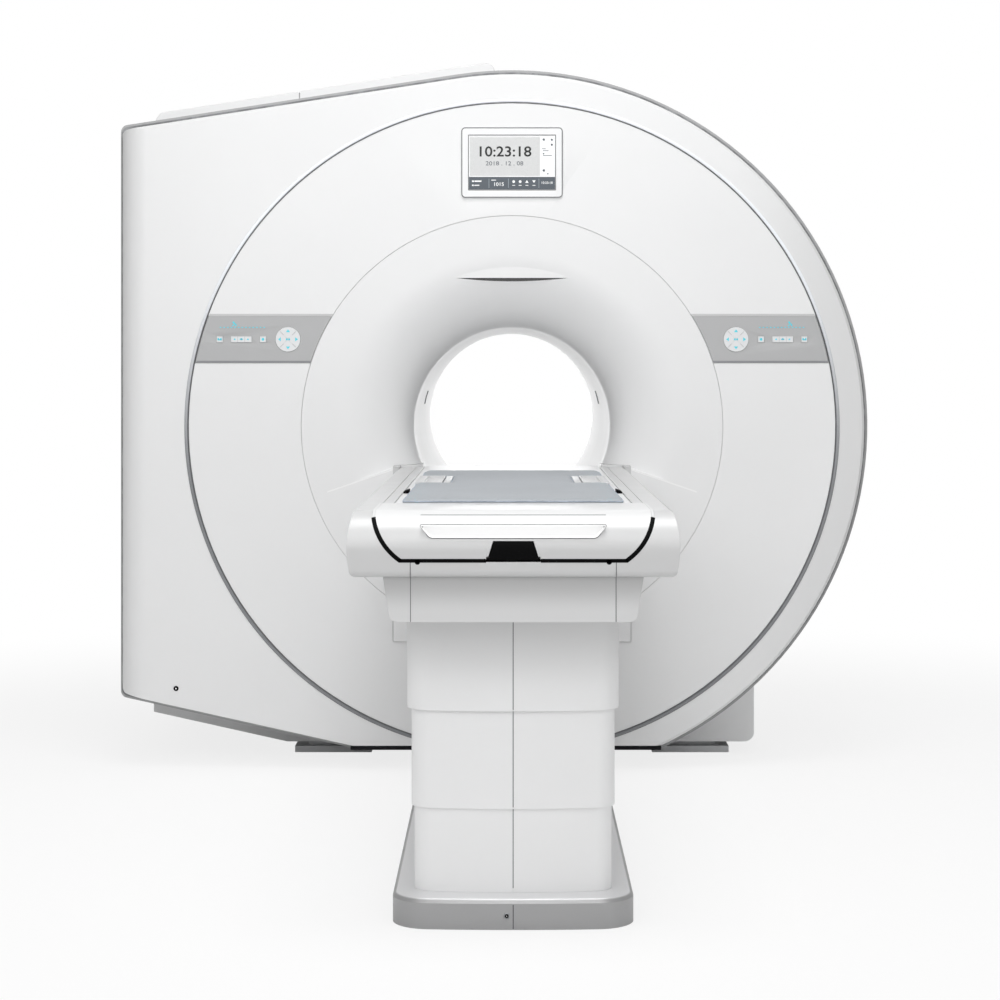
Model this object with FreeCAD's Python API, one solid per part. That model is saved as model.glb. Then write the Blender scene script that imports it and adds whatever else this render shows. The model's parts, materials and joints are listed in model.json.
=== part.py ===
"""Whole-body MRI scanner: round gantry with a superconducting magnet, and a table on a lifting column.

Frame, in millimetres: X to the right and Y away as seen from the foot of the table, Z up.
The origin is on the floor, straight below the isocentre (the middle of the magnet).
"""
import FreeCAD, Part
import math
import os

V = FreeCAD.Vector
RIGHT = V(1, 0, 0)
AWAY = V(0, 1, 0)
UP = V(0, 0, 1)

# ------------------------------------------------------------------ gantry: driving dimensions
SHELL_R = 1082.0             # round body of the side shell
SHELL_SIDE = 108.0           # flat left side, outside the round body
SHELL_FLAT = 100.0           # flat underside, inside the round body
SHELL_CLEAR = 48.0           # underside above the floor
SHELL_TOP_SLOPE = 8.7        # degrees, the roof falls to the left
SHELL_FOOT_SLOPE = 12.56     # degrees, the underside rises to the left
SHELL_FOOT_RISE = 158.0      # lower left corner, above the underside
SHELL_CORNER_R = 22.0        # upright corners on the left
SHELL_WALL = 10.0
HALF_LENGTH = 835.0          # from the isocentre to the front and rear planes
BORE_R = 300.0               # patient bore
WALL = 6.0                   # moulded covers
SEAM = 1.0                   # gap between neighbouring covers

COVER_INSET = 24.0           # front and rear covers stand inside the shell's outline
COVER_SIDE_INSET = 9.0       # and on the left side, where the cover wraps round
COVER_DEPTH = 92.0           # from the front plane to the cover's back edge
COVER_LEFT_ROUND = 85.0      # the wrap on the left, in plan
COVER_EDGE = 8.0             # bevelled front edge
COVER_RIM = 75.0             # from the cover's edge to the silver ring
GASKET_INSET = 8.0
GASKET_SIDE_INSET = 4.0
GASKET_DEPTH = 9.0

RING_WIDTH = 13.0            # silver ring between the front cover and the annulus
RING_PROUD = 2.5
RING_DEPTH = 6.0
FUNNEL_ROUND_R = 213.0       # the bell's rounded mouth
FUNNEL_RIM = 120.0           # flat rim round the bell
FUNNEL_STEPS = 5             # straight facets of the bell's section
FUNNEL_KNEE = 55.0           # degrees round the bell, where the hidden back has its knee
FUNNEL_CREASE_X = 336.0      # shelf beside the table: where its slopes begin
FUNNEL_SHELF_RISE = 6.5      # shelf above the couch's top
FUNNEL_SHELF_SLOPE = 18.9    # degrees
REAR_FLARE = 70.0            # how far the rear mouth widens
REAR_DEPTH = 92.0            # from the rear plane to the shell

DOCK_GAP = 7.0               # channel in which the table's head end rides, beside the couch
DOCK_FLOOR_GAP = 24.0        # and below the lowered couch
DOCK_FLANGE = 20.0
DOCK_FLANGE_THICK = 5.0
DOCK_LINER_DROP = 23.0       # the liner's top, below the funnel's shelf

PANEL_LOW = 190.5            # control panels, lower edge above the isocentre
PANEL_HEIGHT = 141.0
PANEL_THICK = 4.0
KEY_ROW_RISE = 71.0          # the key row, above the panels' lower edge
PAD_R = 37.0
PAD_GROOVE = 1.0             # shallow diagonal grooves that part the pad's four sides
KEY_W = 18.0
KEY_H = 18.0
KEY_BAR_W = 62.0             # the long key in the middle of the row
PAD_SHARE = 0.267            # places along the panel, as shares of its length
KEY_INNER_SHARE = 0.477
KEY_BAR_SHARE = 0.6585
KEY_OUTER_SHARE = 0.84
KEY_LENGTH = 9.0
KEY_CLEARANCE = 0.5
KEY_PROUD = 1.8
KEY_RIM = 1.6                # retaining rim behind the panel
SWITCH_INNER_MARGIN = 12.0   # tray behind the keys, past the pad
SWITCH_OUTER_MARGIN = 16.0   # and past the outer key
SWITCH_HALF_H = 48.0
SWITCH_DEPTH = 12.0
SWITCH_WALL = 3.0

DISPLAY_DROP = 10.0          # below the middle of the annulus
DISPLAY_W = 305.0
DISPLAY_H = 212.0
DISPLAY_CORNER_R = 12.0
DISPLAY_PROUD = 5.0
DISPLAY_DEPTH = 46.0
SCREEN_W = 261.0
SCREEN_H = 165.0
SCREEN_THICK = 4.0
SCREEN_SETBACK = 1.2
SCREEN_LEDGE = 4.0

VISOR_SETBACK = 3.0          # laser visor above the bore, behind the front plane
VISOR_DROP = 67.0            # its lower edge, below the bell's top
SLOT_HALF_W = 171.0
SLOT_SAG = 10.0
SLOT_DEPTH = 60.0
WINDOW_SETBACK = 17.0
WINDOW_THICK = 8.0

TOP_COVER_EDGE = 76.0        # raised roof cover, from the flat left side
TOP_COVER_PANEL = 449.0      # width of its left half
TOP_COVER_RIGHT = 53.0
TOP_COVER_RISE = 48.0
TOP_COVER_END = 300.0        # from the front and rear planes
TOP_COVER_CORNER_R = 30.0
SKIRT_EDGE = 69.0            # skirt, from the flat left side
SKIRT_RIGHT_EDGE = 324.0     # and from the round body's right end
SKIRT_CLEAR = 36.0           # height above the floor
SKIRT_DROP = 60.0            # below the shell's sloping underside
SKIRT_END = 300.0            # from the front and rear planes
SKIRT_CORNER_R = 30.0
LOCK_EDGE = 182.0            # from the flat left side
LOCK_RISE = 38.0             # above the lower left corner
LOCK_R = 7.5
LOCK_HEAD = 1.5

VESSEL_CLEAR = 152.0         # between the magnet and the round body's outside
VESSEL_END = 235.0           # from the front and rear planes
BODY_COIL_WALL = 46.0
BODY_COIL_HALF_L = 300.0
GRADIENT_WALL = 138.0
GRADIENT_END = 10.0          # shorter than the vessel, at each end
FOOT_X = 560.0
FOOT_END = 200.0             # from the vessel's ends
FOOT_PILLAR = 160.0
FOOT_PLATE = 240.0
FOOT_PLATE_THICK = 20.0
FOOT_BOLT = 90.0             # anchor hole, from the middle of its foot
MAGNET_BOLT_HOLE_R = 9.0
TURRET_SETBACK = 170.0       # inside the vessel's left side
TURRET_DROP = 50.0           # the neck's top, below the vessel's
TURRET_R = 105.0
COLD_HEAD_R = 55.0
COLD_HEAD_HEIGHT = 60.0
STRIP_THICK = 4.5
STRIP_X = 120.0
STRIP_W = 30.0
SLIDE_GAP = 0.5              # between the cradle and what carries it
BRIDGE_THICK = 12.0
BRIDGE_RIB_X = 95.0
BRIDGE_END_GAP = 4.0
PORT_LOW = 53.0              # inlays in the bore's sides, heights above the isocentre
PORT_HIGH = 97.0
PORT_Y = 45.0
PORT_W = 40.0
PORT_THICK = 2.5

# ------------------------------------------------------------------ table: driving dimensions
COUCH_REACH = 68.0           # how far the couch's head end rides in the dock
COUCH_LENGTH = 2148.0
COUCH_DROP = 124.5           # the couch's top, below the isocentre
COUCH_HEIGHT = 137.5
COUCH_RIM = 41.5             # flat rim on each side of the top opening
COUCH_SWELL = 18.0           # the sides' swell outside the rims
COUCH_TUCK = 1.0             # the underside's edge, inside the rims
COUCH_WALL = 5.0
COUCH_NOSE_R = 85.0          # rounded nose at the foot end
COUCH_SEAM = 315.0           # from the foot end to the cradle
COUCH_GROOVE_SETBACK = 115.0 # upright seams on the front
COUCH_GROOVE = 1.6
COUCH_EDGE_R = 8.0           # rounded upper and lower edges of the housing
COUCH_FOOT_R = 14.0
LIFT_HEIGHT = 360.0          # how far the table goes down

FASCIA_TOP_INSET = 34.0      # opening for the fascia, inside the housing's upper edge
FASCIA_MID_INSET = 57.0
FASCIA_LOW_INSET = 92.0
FASCIA_TOP_DROP = 9.5        # heights below the couch's top
FASCIA_MID_DROP = 67.5
FASCIA_LOW_DROP = 105.0
FASCIA_GAP = 5.5
FASCIA_WALL = 5.0
FASCIA_FOOT_INSET = 40.0     # the fascia's feet, inside its lower edge
FASCIA_FOOT_Y = 130.0        # and behind the couch's foot end
FASCIA_FOOT_L = 90.0
FASCIA_FOOT_W = 30.0
GRIP_TOP_INSET = 42.0        # hand grip, inside the fascia's lower edge
GRIP_LOW_INSET = 64.0
GRIP_TOP_DROP = 27.5
GRIP_LOW_DROP = 55.5
GRIP_DEPTH = 62.0
GRIP_WALL = 4.0
GRIP_CORNER_R = 7.0
LATCH_TOP_HALF_W = 41.0
LATCH_LOW_HALF_W = 54.0
LATCH_TOP_DROP = 62.5
LATCH_LOW_DROP = 101.0
LATCH_GAP = 1.5
LATCH_THICK = 9.0
LATCH_PIN_R = 3.0
LATCH_PIN_SETBACK = 18.0
LATCH_PIN_DROP = 6.0         # below the latch's top edge
LATCH_LUG_X = 24.0
LATCH_LUG_W = 8.0
LATCH_LUG_REACH = 6.0        # of the lugs and brackets round the pin
LATCH_BORE_PLAY = 0.3
LATCH_BRACKET_X = 38.0
LATCH_BRACKET_W = 8.0
LATCH_SWING = 32.0           # room behind the latch's foot

CRADLE_PLAY = 7.9            # between the cradle's upper edges and the bore
CRADLE_SINK = 0.5            # the cradle's top, below the couch's
CRADLE_EDGE = 8.0
CRADLE_TAPER = 114.0         # from the side to the flat underside
CRADLE_DEPTH = 60.0
CRADLE_REACH = 127.0         # the cradle's head end, past the couch's
CRADLE_CORNER_R = 70.0
CRADLE_GAP = 3.0             # to the rail covers
RAIL_GAP = 26.5              # from the cradle to the housing's opening
RAIL_COVER_WEB = 4.0
GUIDE_X = 110.0
GUIDE_W = 24.0
GUIDE_DROP = 105.5
CARRIAGE_LENGTH = 130.0
CARRIAGE_OVERHANG = 25.0     # past the middle of the rails
CARRIAGE_SETBACK = 8.0
RACK_HALF_W = 15.0
RACK_HEIGHT = 10.0
SLIDE_BLOCK_SETBACK = 63.0   # from the couch's head end
SLIDE_BLOCK_L = 40.0
SLIDE_BLOCK_HALF_W = 24.0
MAT_SETBACK = 15.0           # the mattress, inside the cradle's sides
MAT_THICK = 12.0
MAT_HEAD_GAP = 440.0         # from the cradle's head end
MAT_FOOT_GAP = 6.0
MAT_CROWN = 3.0
MAT_DRAWN = 4.0              # the edges are drawn in at the seams
SOCKET_HEAD_GAP = 848.0      # coil sockets in the mattress's cut-outs, from the cradle's head end
SOCKET_LENGTH = 370.0
SOCKET_DEPTH = 72.0
SOCKET_GAP = 4.0
SOCKET_HEIGHT = 9.0
SOCKET_RIM = 3.0
SOCKET_WELL_W = 44.0
CLIP_SETBACK = 352.0         # behind the sockets
CLIP_LENGTH = 70.0
CLIP_HEIGHT = 9.0

CARRIER_TUCK = 57.0          # the carrier's upper edge, inside the housing's lower edge
CARRIER_TAPER = 15.0
CARRIER_HEIGHT = 95.0
CARRIER_FOOT_SETBACK = 13.0
CARRIER_HEAD_SETBACK = 353.0
CARRIER_CORNER_R = 20.0

COLUMN_TUCK = 42.0           # the lower section, inside the carrier's lower edge
COLUMN_CORNER_R = 45.0
COLUMN_BOW_R = 1100.0
COLUMN_FOOT_SETBACK = 173.0  # from the carrier's ends
COLUMN_HEAD_SETBACK = 530.0
COLUMN_WALL = 4.5
COLUMN_STEP_MIDDLE = 6.5     # how far the middle section stands outside the lower one
COLUMN_STEP_UPPER = 16.0
COLUMN_LOWER_TOP_Z = 290.0
COLUMN_LOWER_LAP = 42.0      # overlap of the sections in the raised position
COLUMN_UPPER_LAP = 24.0
COLUMN_UPPER_L = 211.0
COLUMN_SEAM = 1.2

BASE_MARGIN = 46.0           # the base outside the column's lower section
BASE_FOOT_MARGIN = 66.0
BASE_HEAD_MARGIN = 90.0
BASE_CORNER_R = 85.0
BASE_BOW_R = 2600.0
BASE_HEIGHT = 65.0
BASE_BEVEL = 9.0
BASE_WALL = 5.0
BASE_PLATE_THICK = 12.0
BASE_PLATE_SETBACK = 100.0   # behind the base's rounded ends
TABLE_BOLT_INSET = 63.0      # anchor holes, from the base's sides
TABLE_BOLT_END = 17.5        # and from the plate's ends
TABLE_BOLT_HOLE_R = 7.0
BASE_LOCK_X = -14.0
BASE_LOCK_Z = 30.0
BASE_LOCK_R = 4.0

MAST_HALF = 90.0             # telescopic lifting mast inside the column, square tubes
MAST_WALL = 8.0
MAST_PLAY = 1.5
MAST_LOWER_LAP = 32.0
MAST_UPPER_LAP = 33.0
MAST_UPPER_L = 226.0

# ------------------------------------------------------------------ derived: gantry
SHELL_LEFT = SHELL_R + SHELL_SIDE
SHELL_BOTTOM = SHELL_R - SHELL_FLAT
SHELL_FOOT_DROP = SHELL_BOTTOM - SHELL_FOOT_RISE
ISO_Z = SHELL_BOTTOM + SHELL_CLEAR
FRONT_Y = -HALF_LENGTH
REAR_Y = HALF_LENGTH
SHELL_FRONT_Y = FRONT_Y + COVER_DEPTH + GASKET_DEPTH
SHELL_REAR_Y = REAR_Y - REAR_DEPTH
RING_OUTER_R = SHELL_R - COVER_INSET - COVER_RIM
RING_INNER_R = RING_OUTER_R - RING_WIDTH
FUNNEL_FLAT_R = BORE_R + FUNNEL_ROUND_R
ANNULUS_INNER_R = FUNNEL_FLAT_R + FUNNEL_RIM
DOCK_REAR_Y = FRONT_Y + FUNNEL_ROUND_R
REAR_MOUTH_R = BORE_R + REAR_FLARE
BORE_REAR_Y = REAR_Y - REAR_FLARE
VISOR_Z = FUNNEL_FLAT_R - VISOR_DROP
DISPLAY_Z = (RING_INNER_R + ANNULUS_INNER_R) / 2 - DISPLAY_DROP
PANEL_HIGH = PANEL_LOW + PANEL_HEIGHT
KEY_ROW = PANEL_LOW + KEY_ROW_RISE
PANEL_START_X = math.sqrt(ANNULUS_INNER_R ** 2 - KEY_ROW ** 2)
PANEL_SPAN_X = math.sqrt(RING_INNER_R ** 2 - KEY_ROW ** 2) - PANEL_START_X
PAD_X = PANEL_START_X + PAD_SHARE * PANEL_SPAN_X
KEY_INNER_X = PANEL_START_X + KEY_INNER_SHARE * PANEL_SPAN_X
KEY_BAR_X = PANEL_START_X + KEY_BAR_SHARE * PANEL_SPAN_X
KEY_OUTER_X = PANEL_START_X + KEY_OUTER_SHARE * PANEL_SPAN_X
SWITCH_X0 = PAD_X - PAD_R - SWITCH_INNER_MARGIN
SWITCH_X1 = KEY_OUTER_X + KEY_W / 2 + SWITCH_OUTER_MARGIN
TOP_COVER_LEFT = SHELL_LEFT - TOP_COVER_EDGE
TOP_COVER_SEAM = TOP_COVER_LEFT - TOP_COVER_PANEL
TOP_COVER_HALF_Y = HALF_LENGTH - TOP_COVER_END
SKIRT_LEFT = SHELL_LEFT - SKIRT_EDGE
SKIRT_RIGHT = SHELL_R - SKIRT_RIGHT_EDGE
SKIRT_HALF_Y = HALF_LENGTH - SKIRT_END
LOCK_X = LOCK_EDGE - SHELL_LEFT
LOCK_Z = ISO_Z - SHELL_FOOT_DROP + LOCK_RISE
VESSEL_R = SHELL_R - VESSEL_CLEAR
VESSEL_HALF_L = HALF_LENGTH - VESSEL_END
GRADIENT_INNER_R = BORE_R + WALL + BODY_COIL_WALL
GRADIENT_HALF_L = VESSEL_HALF_L - GRADIENT_END
VESSEL_BORE_R = GRADIENT_INNER_R + GRADIENT_WALL
FOOT_Y = VESSEL_HALF_L - FOOT_END
MAGNET_BOLT_X = FOOT_X + FOOT_BOLT
MAGNET_BOLT_Y = FOOT_Y + FOOT_BOLT
TURRET_X = TURRET_SETBACK - VESSEL_R
TURRET_TOP = VESSEL_R - TURRET_DROP

# ------------------------------------------------------------------ derived: table
COUCH_HEAD_Y = FRONT_Y + COUCH_REACH
COUCH_FOOT_Y = COUCH_HEAD_Y - COUCH_LENGTH
COUCH_SEAM_Y = COUCH_FOOT_Y + COUCH_SEAM
COUCH_TOP_Z = ISO_Z - COUCH_DROP
COUCH_BOTTOM_Z = COUCH_TOP_Z - COUCH_HEIGHT
CRADLE_TOP_Z = COUCH_TOP_Z - CRADLE_SINK
CRADLE_LOW_Z = CRADLE_TOP_Z - CRADLE_DEPTH
CRADLE_HALF_W = math.sqrt((BORE_R - CRADLE_PLAY) ** 2 - (ISO_Z - CRADLE_TOP_Z) ** 2)
CRADLE_FLAT_HALF_W = CRADLE_HALF_W - CRADLE_TAPER
CRADLE_HEAD_Y = COUCH_HEAD_Y + CRADLE_REACH
CRADLE_FOOT_Y = COUCH_SEAM_Y + 2 * SEAM
COUCH_OPENING_HALF_W = CRADLE_HALF_W + RAIL_GAP
COUCH_TOP_HALF_W = COUCH_OPENING_HALF_W + COUCH_RIM
COUCH_HALF_W = COUCH_TOP_HALF_W + COUCH_SWELL
COUCH_BOTTOM_HALF_W = COUCH_TOP_HALF_W - COUCH_TUCK
COUCH_GROOVE_X = COUCH_BOTTOM_HALF_W - COUCH_GROOVE_SETBACK
FASCIA_TOP_HALF_W = COUCH_TOP_HALF_W - FASCIA_TOP_INSET
FASCIA_MID_HALF_W = COUCH_TOP_HALF_W - FASCIA_MID_INSET
FASCIA_LOW_HALF_W = COUCH_TOP_HALF_W - FASCIA_LOW_INSET
FASCIA_TOP_Z = COUCH_TOP_Z - FASCIA_TOP_DROP
FASCIA_MID_Z = COUCH_TOP_Z - FASCIA_MID_DROP
FASCIA_LOW_Z = COUCH_TOP_Z - FASCIA_LOW_DROP
FASCIA_FOOT_X = FASCIA_LOW_HALF_W - FASCIA_FOOT_INSET
GRIP_TOP_HALF_W = FASCIA_LOW_HALF_W - GRIP_TOP_INSET
GRIP_LOW_HALF_W = FASCIA_LOW_HALF_W - GRIP_LOW_INSET
GRIP_TOP_Z = COUCH_TOP_Z - GRIP_TOP_DROP
GRIP_LOW_Z = COUCH_TOP_Z - GRIP_LOW_DROP
LATCH_TOP_Z = COUCH_TOP_Z - LATCH_TOP_DROP
LATCH_LOW_Z = COUCH_TOP_Z - LATCH_LOW_DROP
LATCH_PIN_Y = COUCH_FOOT_Y + LATCH_PIN_SETBACK
LATCH_PIN_Z = LATCH_TOP_Z - LATCH_PIN_DROP
GUIDE_TOP_Z = COUCH_TOP_Z - GUIDE_DROP
CARRIAGE_HALF_W = GUIDE_X + CARRIAGE_OVERHANG
SLIDE_BLOCK_Y = COUCH_HEAD_Y - SLIDE_BLOCK_SETBACK
MAT_HALF_W = CRADLE_HALF_W - MAT_SETBACK
MAT_HEAD_Y = CRADLE_HEAD_Y - MAT_HEAD_GAP
SOCKET_HEAD_Y = CRADLE_HEAD_Y - SOCKET_HEAD_GAP
SOCKET_FOOT_Y = SOCKET_HEAD_Y - SOCKET_LENGTH
CLIP_Y = SOCKET_FOOT_Y - CLIP_SETBACK
CARRIER_TOP_HALF_W = COUCH_BOTTOM_HALF_W - CARRIER_TUCK
CARRIER_LOW_HALF_W = CARRIER_TOP_HALF_W - CARRIER_TAPER
CARRIER_BOTTOM_Z = COUCH_BOTTOM_Z - CARRIER_HEIGHT
CARRIER_FOOT_Y = COUCH_FOOT_Y + CARRIER_FOOT_SETBACK
CARRIER_HEAD_Y = COUCH_HEAD_Y - CARRIER_HEAD_SETBACK
COLUMN_HALF_W = CARRIER_LOW_HALF_W - COLUMN_TUCK
COLUMN_FOOT_Y = CARRIER_FOOT_Y + COLUMN_FOOT_SETBACK
COLUMN_HEAD_Y = CARRIER_HEAD_Y - COLUMN_HEAD_SETBACK
COLUMN_MID_Y = (COLUMN_FOOT_Y + COLUMN_HEAD_Y) / 2
COLUMN_MIDDLE_LOW_Z = COLUMN_LOWER_TOP_Z - COLUMN_LOWER_LAP
COLUMN_UPPER_LOW_Z = CARRIER_BOTTOM_Z - COLUMN_UPPER_L
COLUMN_MIDDLE_TOP_Z = COLUMN_UPPER_LOW_Z + COLUMN_UPPER_LAP
BASE_HALF_W = COLUMN_HALF_W + BASE_MARGIN
BASE_FOOT_Y = COLUMN_FOOT_Y - BASE_FOOT_MARGIN
BASE_HEAD_Y = COLUMN_HEAD_Y + BASE_HEAD_MARGIN
TABLE_BOLT_X = BASE_HALF_W - TABLE_BOLT_INSET
MAST_LOWER_TOP_Z = COLUMN_LOWER_TOP_Z
MAST_MIDDLE_LOW_Z = MAST_LOWER_TOP_Z - MAST_LOWER_LAP
MAST_UPPER_LOW_Z = CARRIER_BOTTOM_Z - MAST_UPPER_L
MAST_MIDDLE_TOP_Z = MAST_UPPER_LOW_Z + MAST_UPPER_LAP

# ------------------------------------------------------------------ derived: where the two meet
FUNNEL_CREASE_DROP = ISO_Z - COUCH_TOP_Z - FUNNEL_SHELF_RISE
DOCK_HALF_W = COUCH_HALF_W + DOCK_GAP
DOCK_DROP = ISO_Z - COUCH_BOTTOM_Z + LIFT_HEIGHT + DOCK_FLOOR_GAP
BRIDGE_DROP = ISO_Z - CRADLE_LOW_Z + SLIDE_GAP + STRIP_THICK


# ------------------------------------------------------------------ small tools
def box(x0, x1, y0, y1, z0, z1):
    """Box between two corners."""
    return Part.makeBox(x1 - x0, y1 - y0, z1 - z0, V(x0, y0, z0))


def bar_y(radius, x, z, y0, y1):
    """Round bar along Y."""
    return Part.makeCylinder(radius, y1 - y0, V(x, y0, z), AWAY)


def post(radius, x, y, z0, z1):
    """Round post, upright."""
    return Part.makeCylinder(radius, z1 - z0, V(x, y, z0), UP)


def disc(radius, y0, y1):
    """Disc about the bore's axis."""
    return bar_y(radius, 0, ISO_Z, y0, y1)


def tube(outer, inner, y0, y1):
    """Tube about the bore's axis."""
    return disc(outer, y0, y1).cut(disc(inner, y0, y1))


def outline(start, *steps):
    """Closed wire. A step is a point, for a line, or a pair (middle, end), for an arc."""
    edges = []
    here = start
    for step in steps:
        if isinstance(step, tuple):
            middle, there = step
            edges.append(Part.Arc(here, middle, there).toShape())
        else:
            there = step
            edges.append(Part.LineSegment(here, there).toShape())
        here = there
    if here.distanceToPoint(start) > 1e-6:
        edges.append(Part.LineSegment(here, start).toShape())
    return Part.Wire(edges)


def prism(wire, sweep):
    """Solid swept straight from a closed wire."""
    return Part.Face(wire).extrude(sweep)


def polygon_y(points, y0, y1):
    """Prism along Y from (x, z) points."""
    corners = [V(x, y0, z) for x, z in points]
    return prism(outline(*corners), V(0, y1 - y0, 0))


def ring(points):
    """Ring about the bore's axis from a closed (radius, y) profile; an arc is a pair of points."""
    def place(step):
        if isinstance(step[0], tuple):
            return tuple(V(r, y, ISO_Z) for r, y in step)
        return V(step[0], step[1], ISO_Z)

    return Part.Face(outline(*[place(step) for step in points])).revolve(V(0, 0, ISO_Z), AWAY, 360)


def mirrored(shape):
    """The same piece on the other side of the machine."""
    return shape.mirror(V(0, 0, 0), RIGHT)


def pair(shape):
    """A piece and its mirror image, as two solids of one node."""
    return Part.makeCompound([shape, mirrored(shape)])


def along_y_edges(shape, x_limit):
    """Edges parallel to Y that lie to the left of x_limit."""
    chosen = []
    for edge in shape.Edges:
        first, last = edge.Vertexes[0].Point, edge.Vertexes[-1].Point
        if abs(first.x - last.x) + abs(first.z - last.z) < 1e-3 and first.x < x_limit:
            chosen.append(edge)
    return chosen


def save(shape, node):
    """Write one node."""
    shape.exportStep("parts/" + node + ".step")


# ------------------------------------------------------------------ gantry outline
def roof_height(x, inset=0.0):
    """Height of the sloping roof line above the isocentre."""
    slope = math.radians(SHELL_TOP_SLOPE)
    return (SHELL_R - inset) / math.cos(slope) + x * math.tan(slope)


def underside_height(x, inset=0.0):
    """Height of the sloping underside, as a negative number below the isocentre."""
    slope = math.radians(SHELL_FOOT_SLOPE)
    return -SHELL_FOOT_DROP - (x + SHELL_LEFT) * math.tan(slope) + inset / math.cos(slope)


def gantry_prism(inset, side_inset, y0, y1):
    """Prism of the gantry's front view, all edges moved in by inset, and the left side by side_inset."""
    radius = SHELL_R - inset
    left = -(SHELL_LEFT - side_inset)
    bottom = -(SHELL_BOTTOM - inset)
    top_angle = math.radians(90 + SHELL_TOP_SLOPE)
    low_angle = -math.acos(math.sqrt(radius ** 2 - bottom ** 2) / radius)
    mid_angle = (top_angle + low_angle) / 2
    slope = math.tan(math.radians(SHELL_FOOT_SLOPE))
    foot_x = left + (underside_height(left, inset) - bottom) / slope

    def at(x, z):
        return V(x, y0, ISO_Z + z)

    def on_circle(angle):
        return at(radius * math.cos(angle), radius * math.sin(angle))

    wire = outline(
        on_circle(top_angle),
        at(left, roof_height(left, inset)),
        at(left, underside_height(left, inset)),
        at(foot_x, bottom),
        on_circle(low_angle),
        (on_circle(mid_angle), on_circle(top_angle)),
    )
    body = prism(wire, V(0, y1 - y0, 0))
    return body.makeFillet(SHELL_CORNER_R, along_y_edges(body, left + 1))


def wrap_cutter(x_left, front, radius):
    """What is cut from the cover's left upright edge to round it in plan."""
    reach = 2 * SHELL_R
    turn = radius * (1 - math.sqrt(0.5))
    wire = outline(
        V(x_left - 1, front - 1, 0),
        V(x_left + radius, front - 1, 0),
        V(x_left + radius, front, 0),
        (V(x_left + turn, front + turn, 0), V(x_left, front + radius, 0)),
        V(x_left - 1, front + radius, 0),
    )
    return prism(wire, V(0, 0, reach))


def cover_body(extra, front, rear):
    """Full body of the front cover, or, with extra as its wall, of the space inside it."""
    body = gantry_prism(COVER_INSET + extra, COVER_SIDE_INSET + extra, front, rear)
    x_left = -(SHELL_LEFT - COVER_SIDE_INSET - extra)
    return body.cut(wrap_cutter(x_left, front, COVER_LEFT_ROUND - extra))


# ------------------------------------------------------------------ gantry covers
def front_cover():
    """Main front cover: a moulded shell, wrapped round on the left, with the ring's round opening."""
    outside = cover_body(0, FRONT_Y, FRONT_Y + COVER_DEPTH).cut(edge_bevel())
    inside = cover_body(WALL, FRONT_Y + WALL, FRONT_Y + COVER_DEPTH + 1)
    shell = outside.cut(inside)
    lock = bar_y(LOCK_R, LOCK_X, LOCK_Z, FRONT_Y - 1, FRONT_Y + WALL + 1)
    return shell.cut(lock).cut(disc(RING_OUTER_R, FRONT_Y - 1, FRONT_Y + COVER_DEPTH))


def edge_bevel():
    """What is cut from the cover's front edge, along its round side and its roof line."""
    radius = SHELL_R - COVER_INSET
    profile = [
        (radius - COVER_EDGE - 1, FRONT_Y - 1),
        (radius + 1, FRONT_Y - 1),
        (radius + 1, FRONT_Y + COVER_EDGE + 1),
    ]
    top = math.radians(90 + SHELL_TOP_SLOPE)
    outward = V(math.cos(top), 0, math.sin(top))
    leftward = V(-math.sin(top), 0, math.cos(top))
    corners = [V(0, y, ISO_Z) + outward * r for r, y in profile]
    roof_line = prism(outline(*corners), leftward * (2 * SHELL_R))
    right_side = box(radius * outward.x, 2 * SHELL_R, 2 * FRONT_Y, 0, -SHELL_R, ISO_Z + 2 * SHELL_R)
    return ring(profile).common(right_side).fuse(roof_line)


def cover_gasket():
    """Dark seal between the front cover and the side shell."""
    front, rear = SHELL_FRONT_Y - GASKET_DEPTH, SHELL_FRONT_Y
    outer = gantry_prism(GASKET_INSET, GASKET_SIDE_INSET, front, rear)
    inner = gantry_prism(COVER_INSET + WALL + 4, COVER_SIDE_INSET + WALL + 4, front - 1, rear + 1)
    return outer.cut(inner)


def side_shell():
    """Wrap of the gantry between its front and rear covers, seated on the magnet's feet."""
    outer = gantry_prism(0, 0, SHELL_FRONT_Y, SHELL_REAR_Y)
    shell = outer.cut(gantry_prism(SHELL_WALL, SHELL_WALL, SHELL_FRONT_Y - 1, SHELL_REAR_Y + 1))
    half = FOOT_PILLAR / 2
    for x in (-FOOT_X, FOOT_X):
        for y in (-FOOT_Y, FOOT_Y):
            shell = shell.cut(box(x - half, x + half, y - half, y + half, 0, ISO_Z - VESSEL_R / 2))
    return shell


def ring_trim():
    """Silver ring with a bevelled face, fitted between the front cover and the annulus."""
    middle = (RING_OUTER_R + RING_INNER_R) / 2
    return ring([
        (RING_INNER_R, FRONT_Y),
        (middle, FRONT_Y - RING_PROUD),
        (RING_OUTER_R, FRONT_Y),
        (RING_OUTER_R, FRONT_Y + RING_DEPTH),
        (RING_INNER_R, FRONT_Y + RING_DEPTH),
    ])


def dock_channel(extra, front, rear):
    """Space of the table's upright channel, grown on its sides and floor by extra."""
    low = ISO_Z - DOCK_DROP - extra
    high = ISO_Z - FUNNEL_CREASE_DROP
    return box(-DOCK_HALF_W - extra, DOCK_HALF_W + extra, front, rear, low, high)


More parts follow.
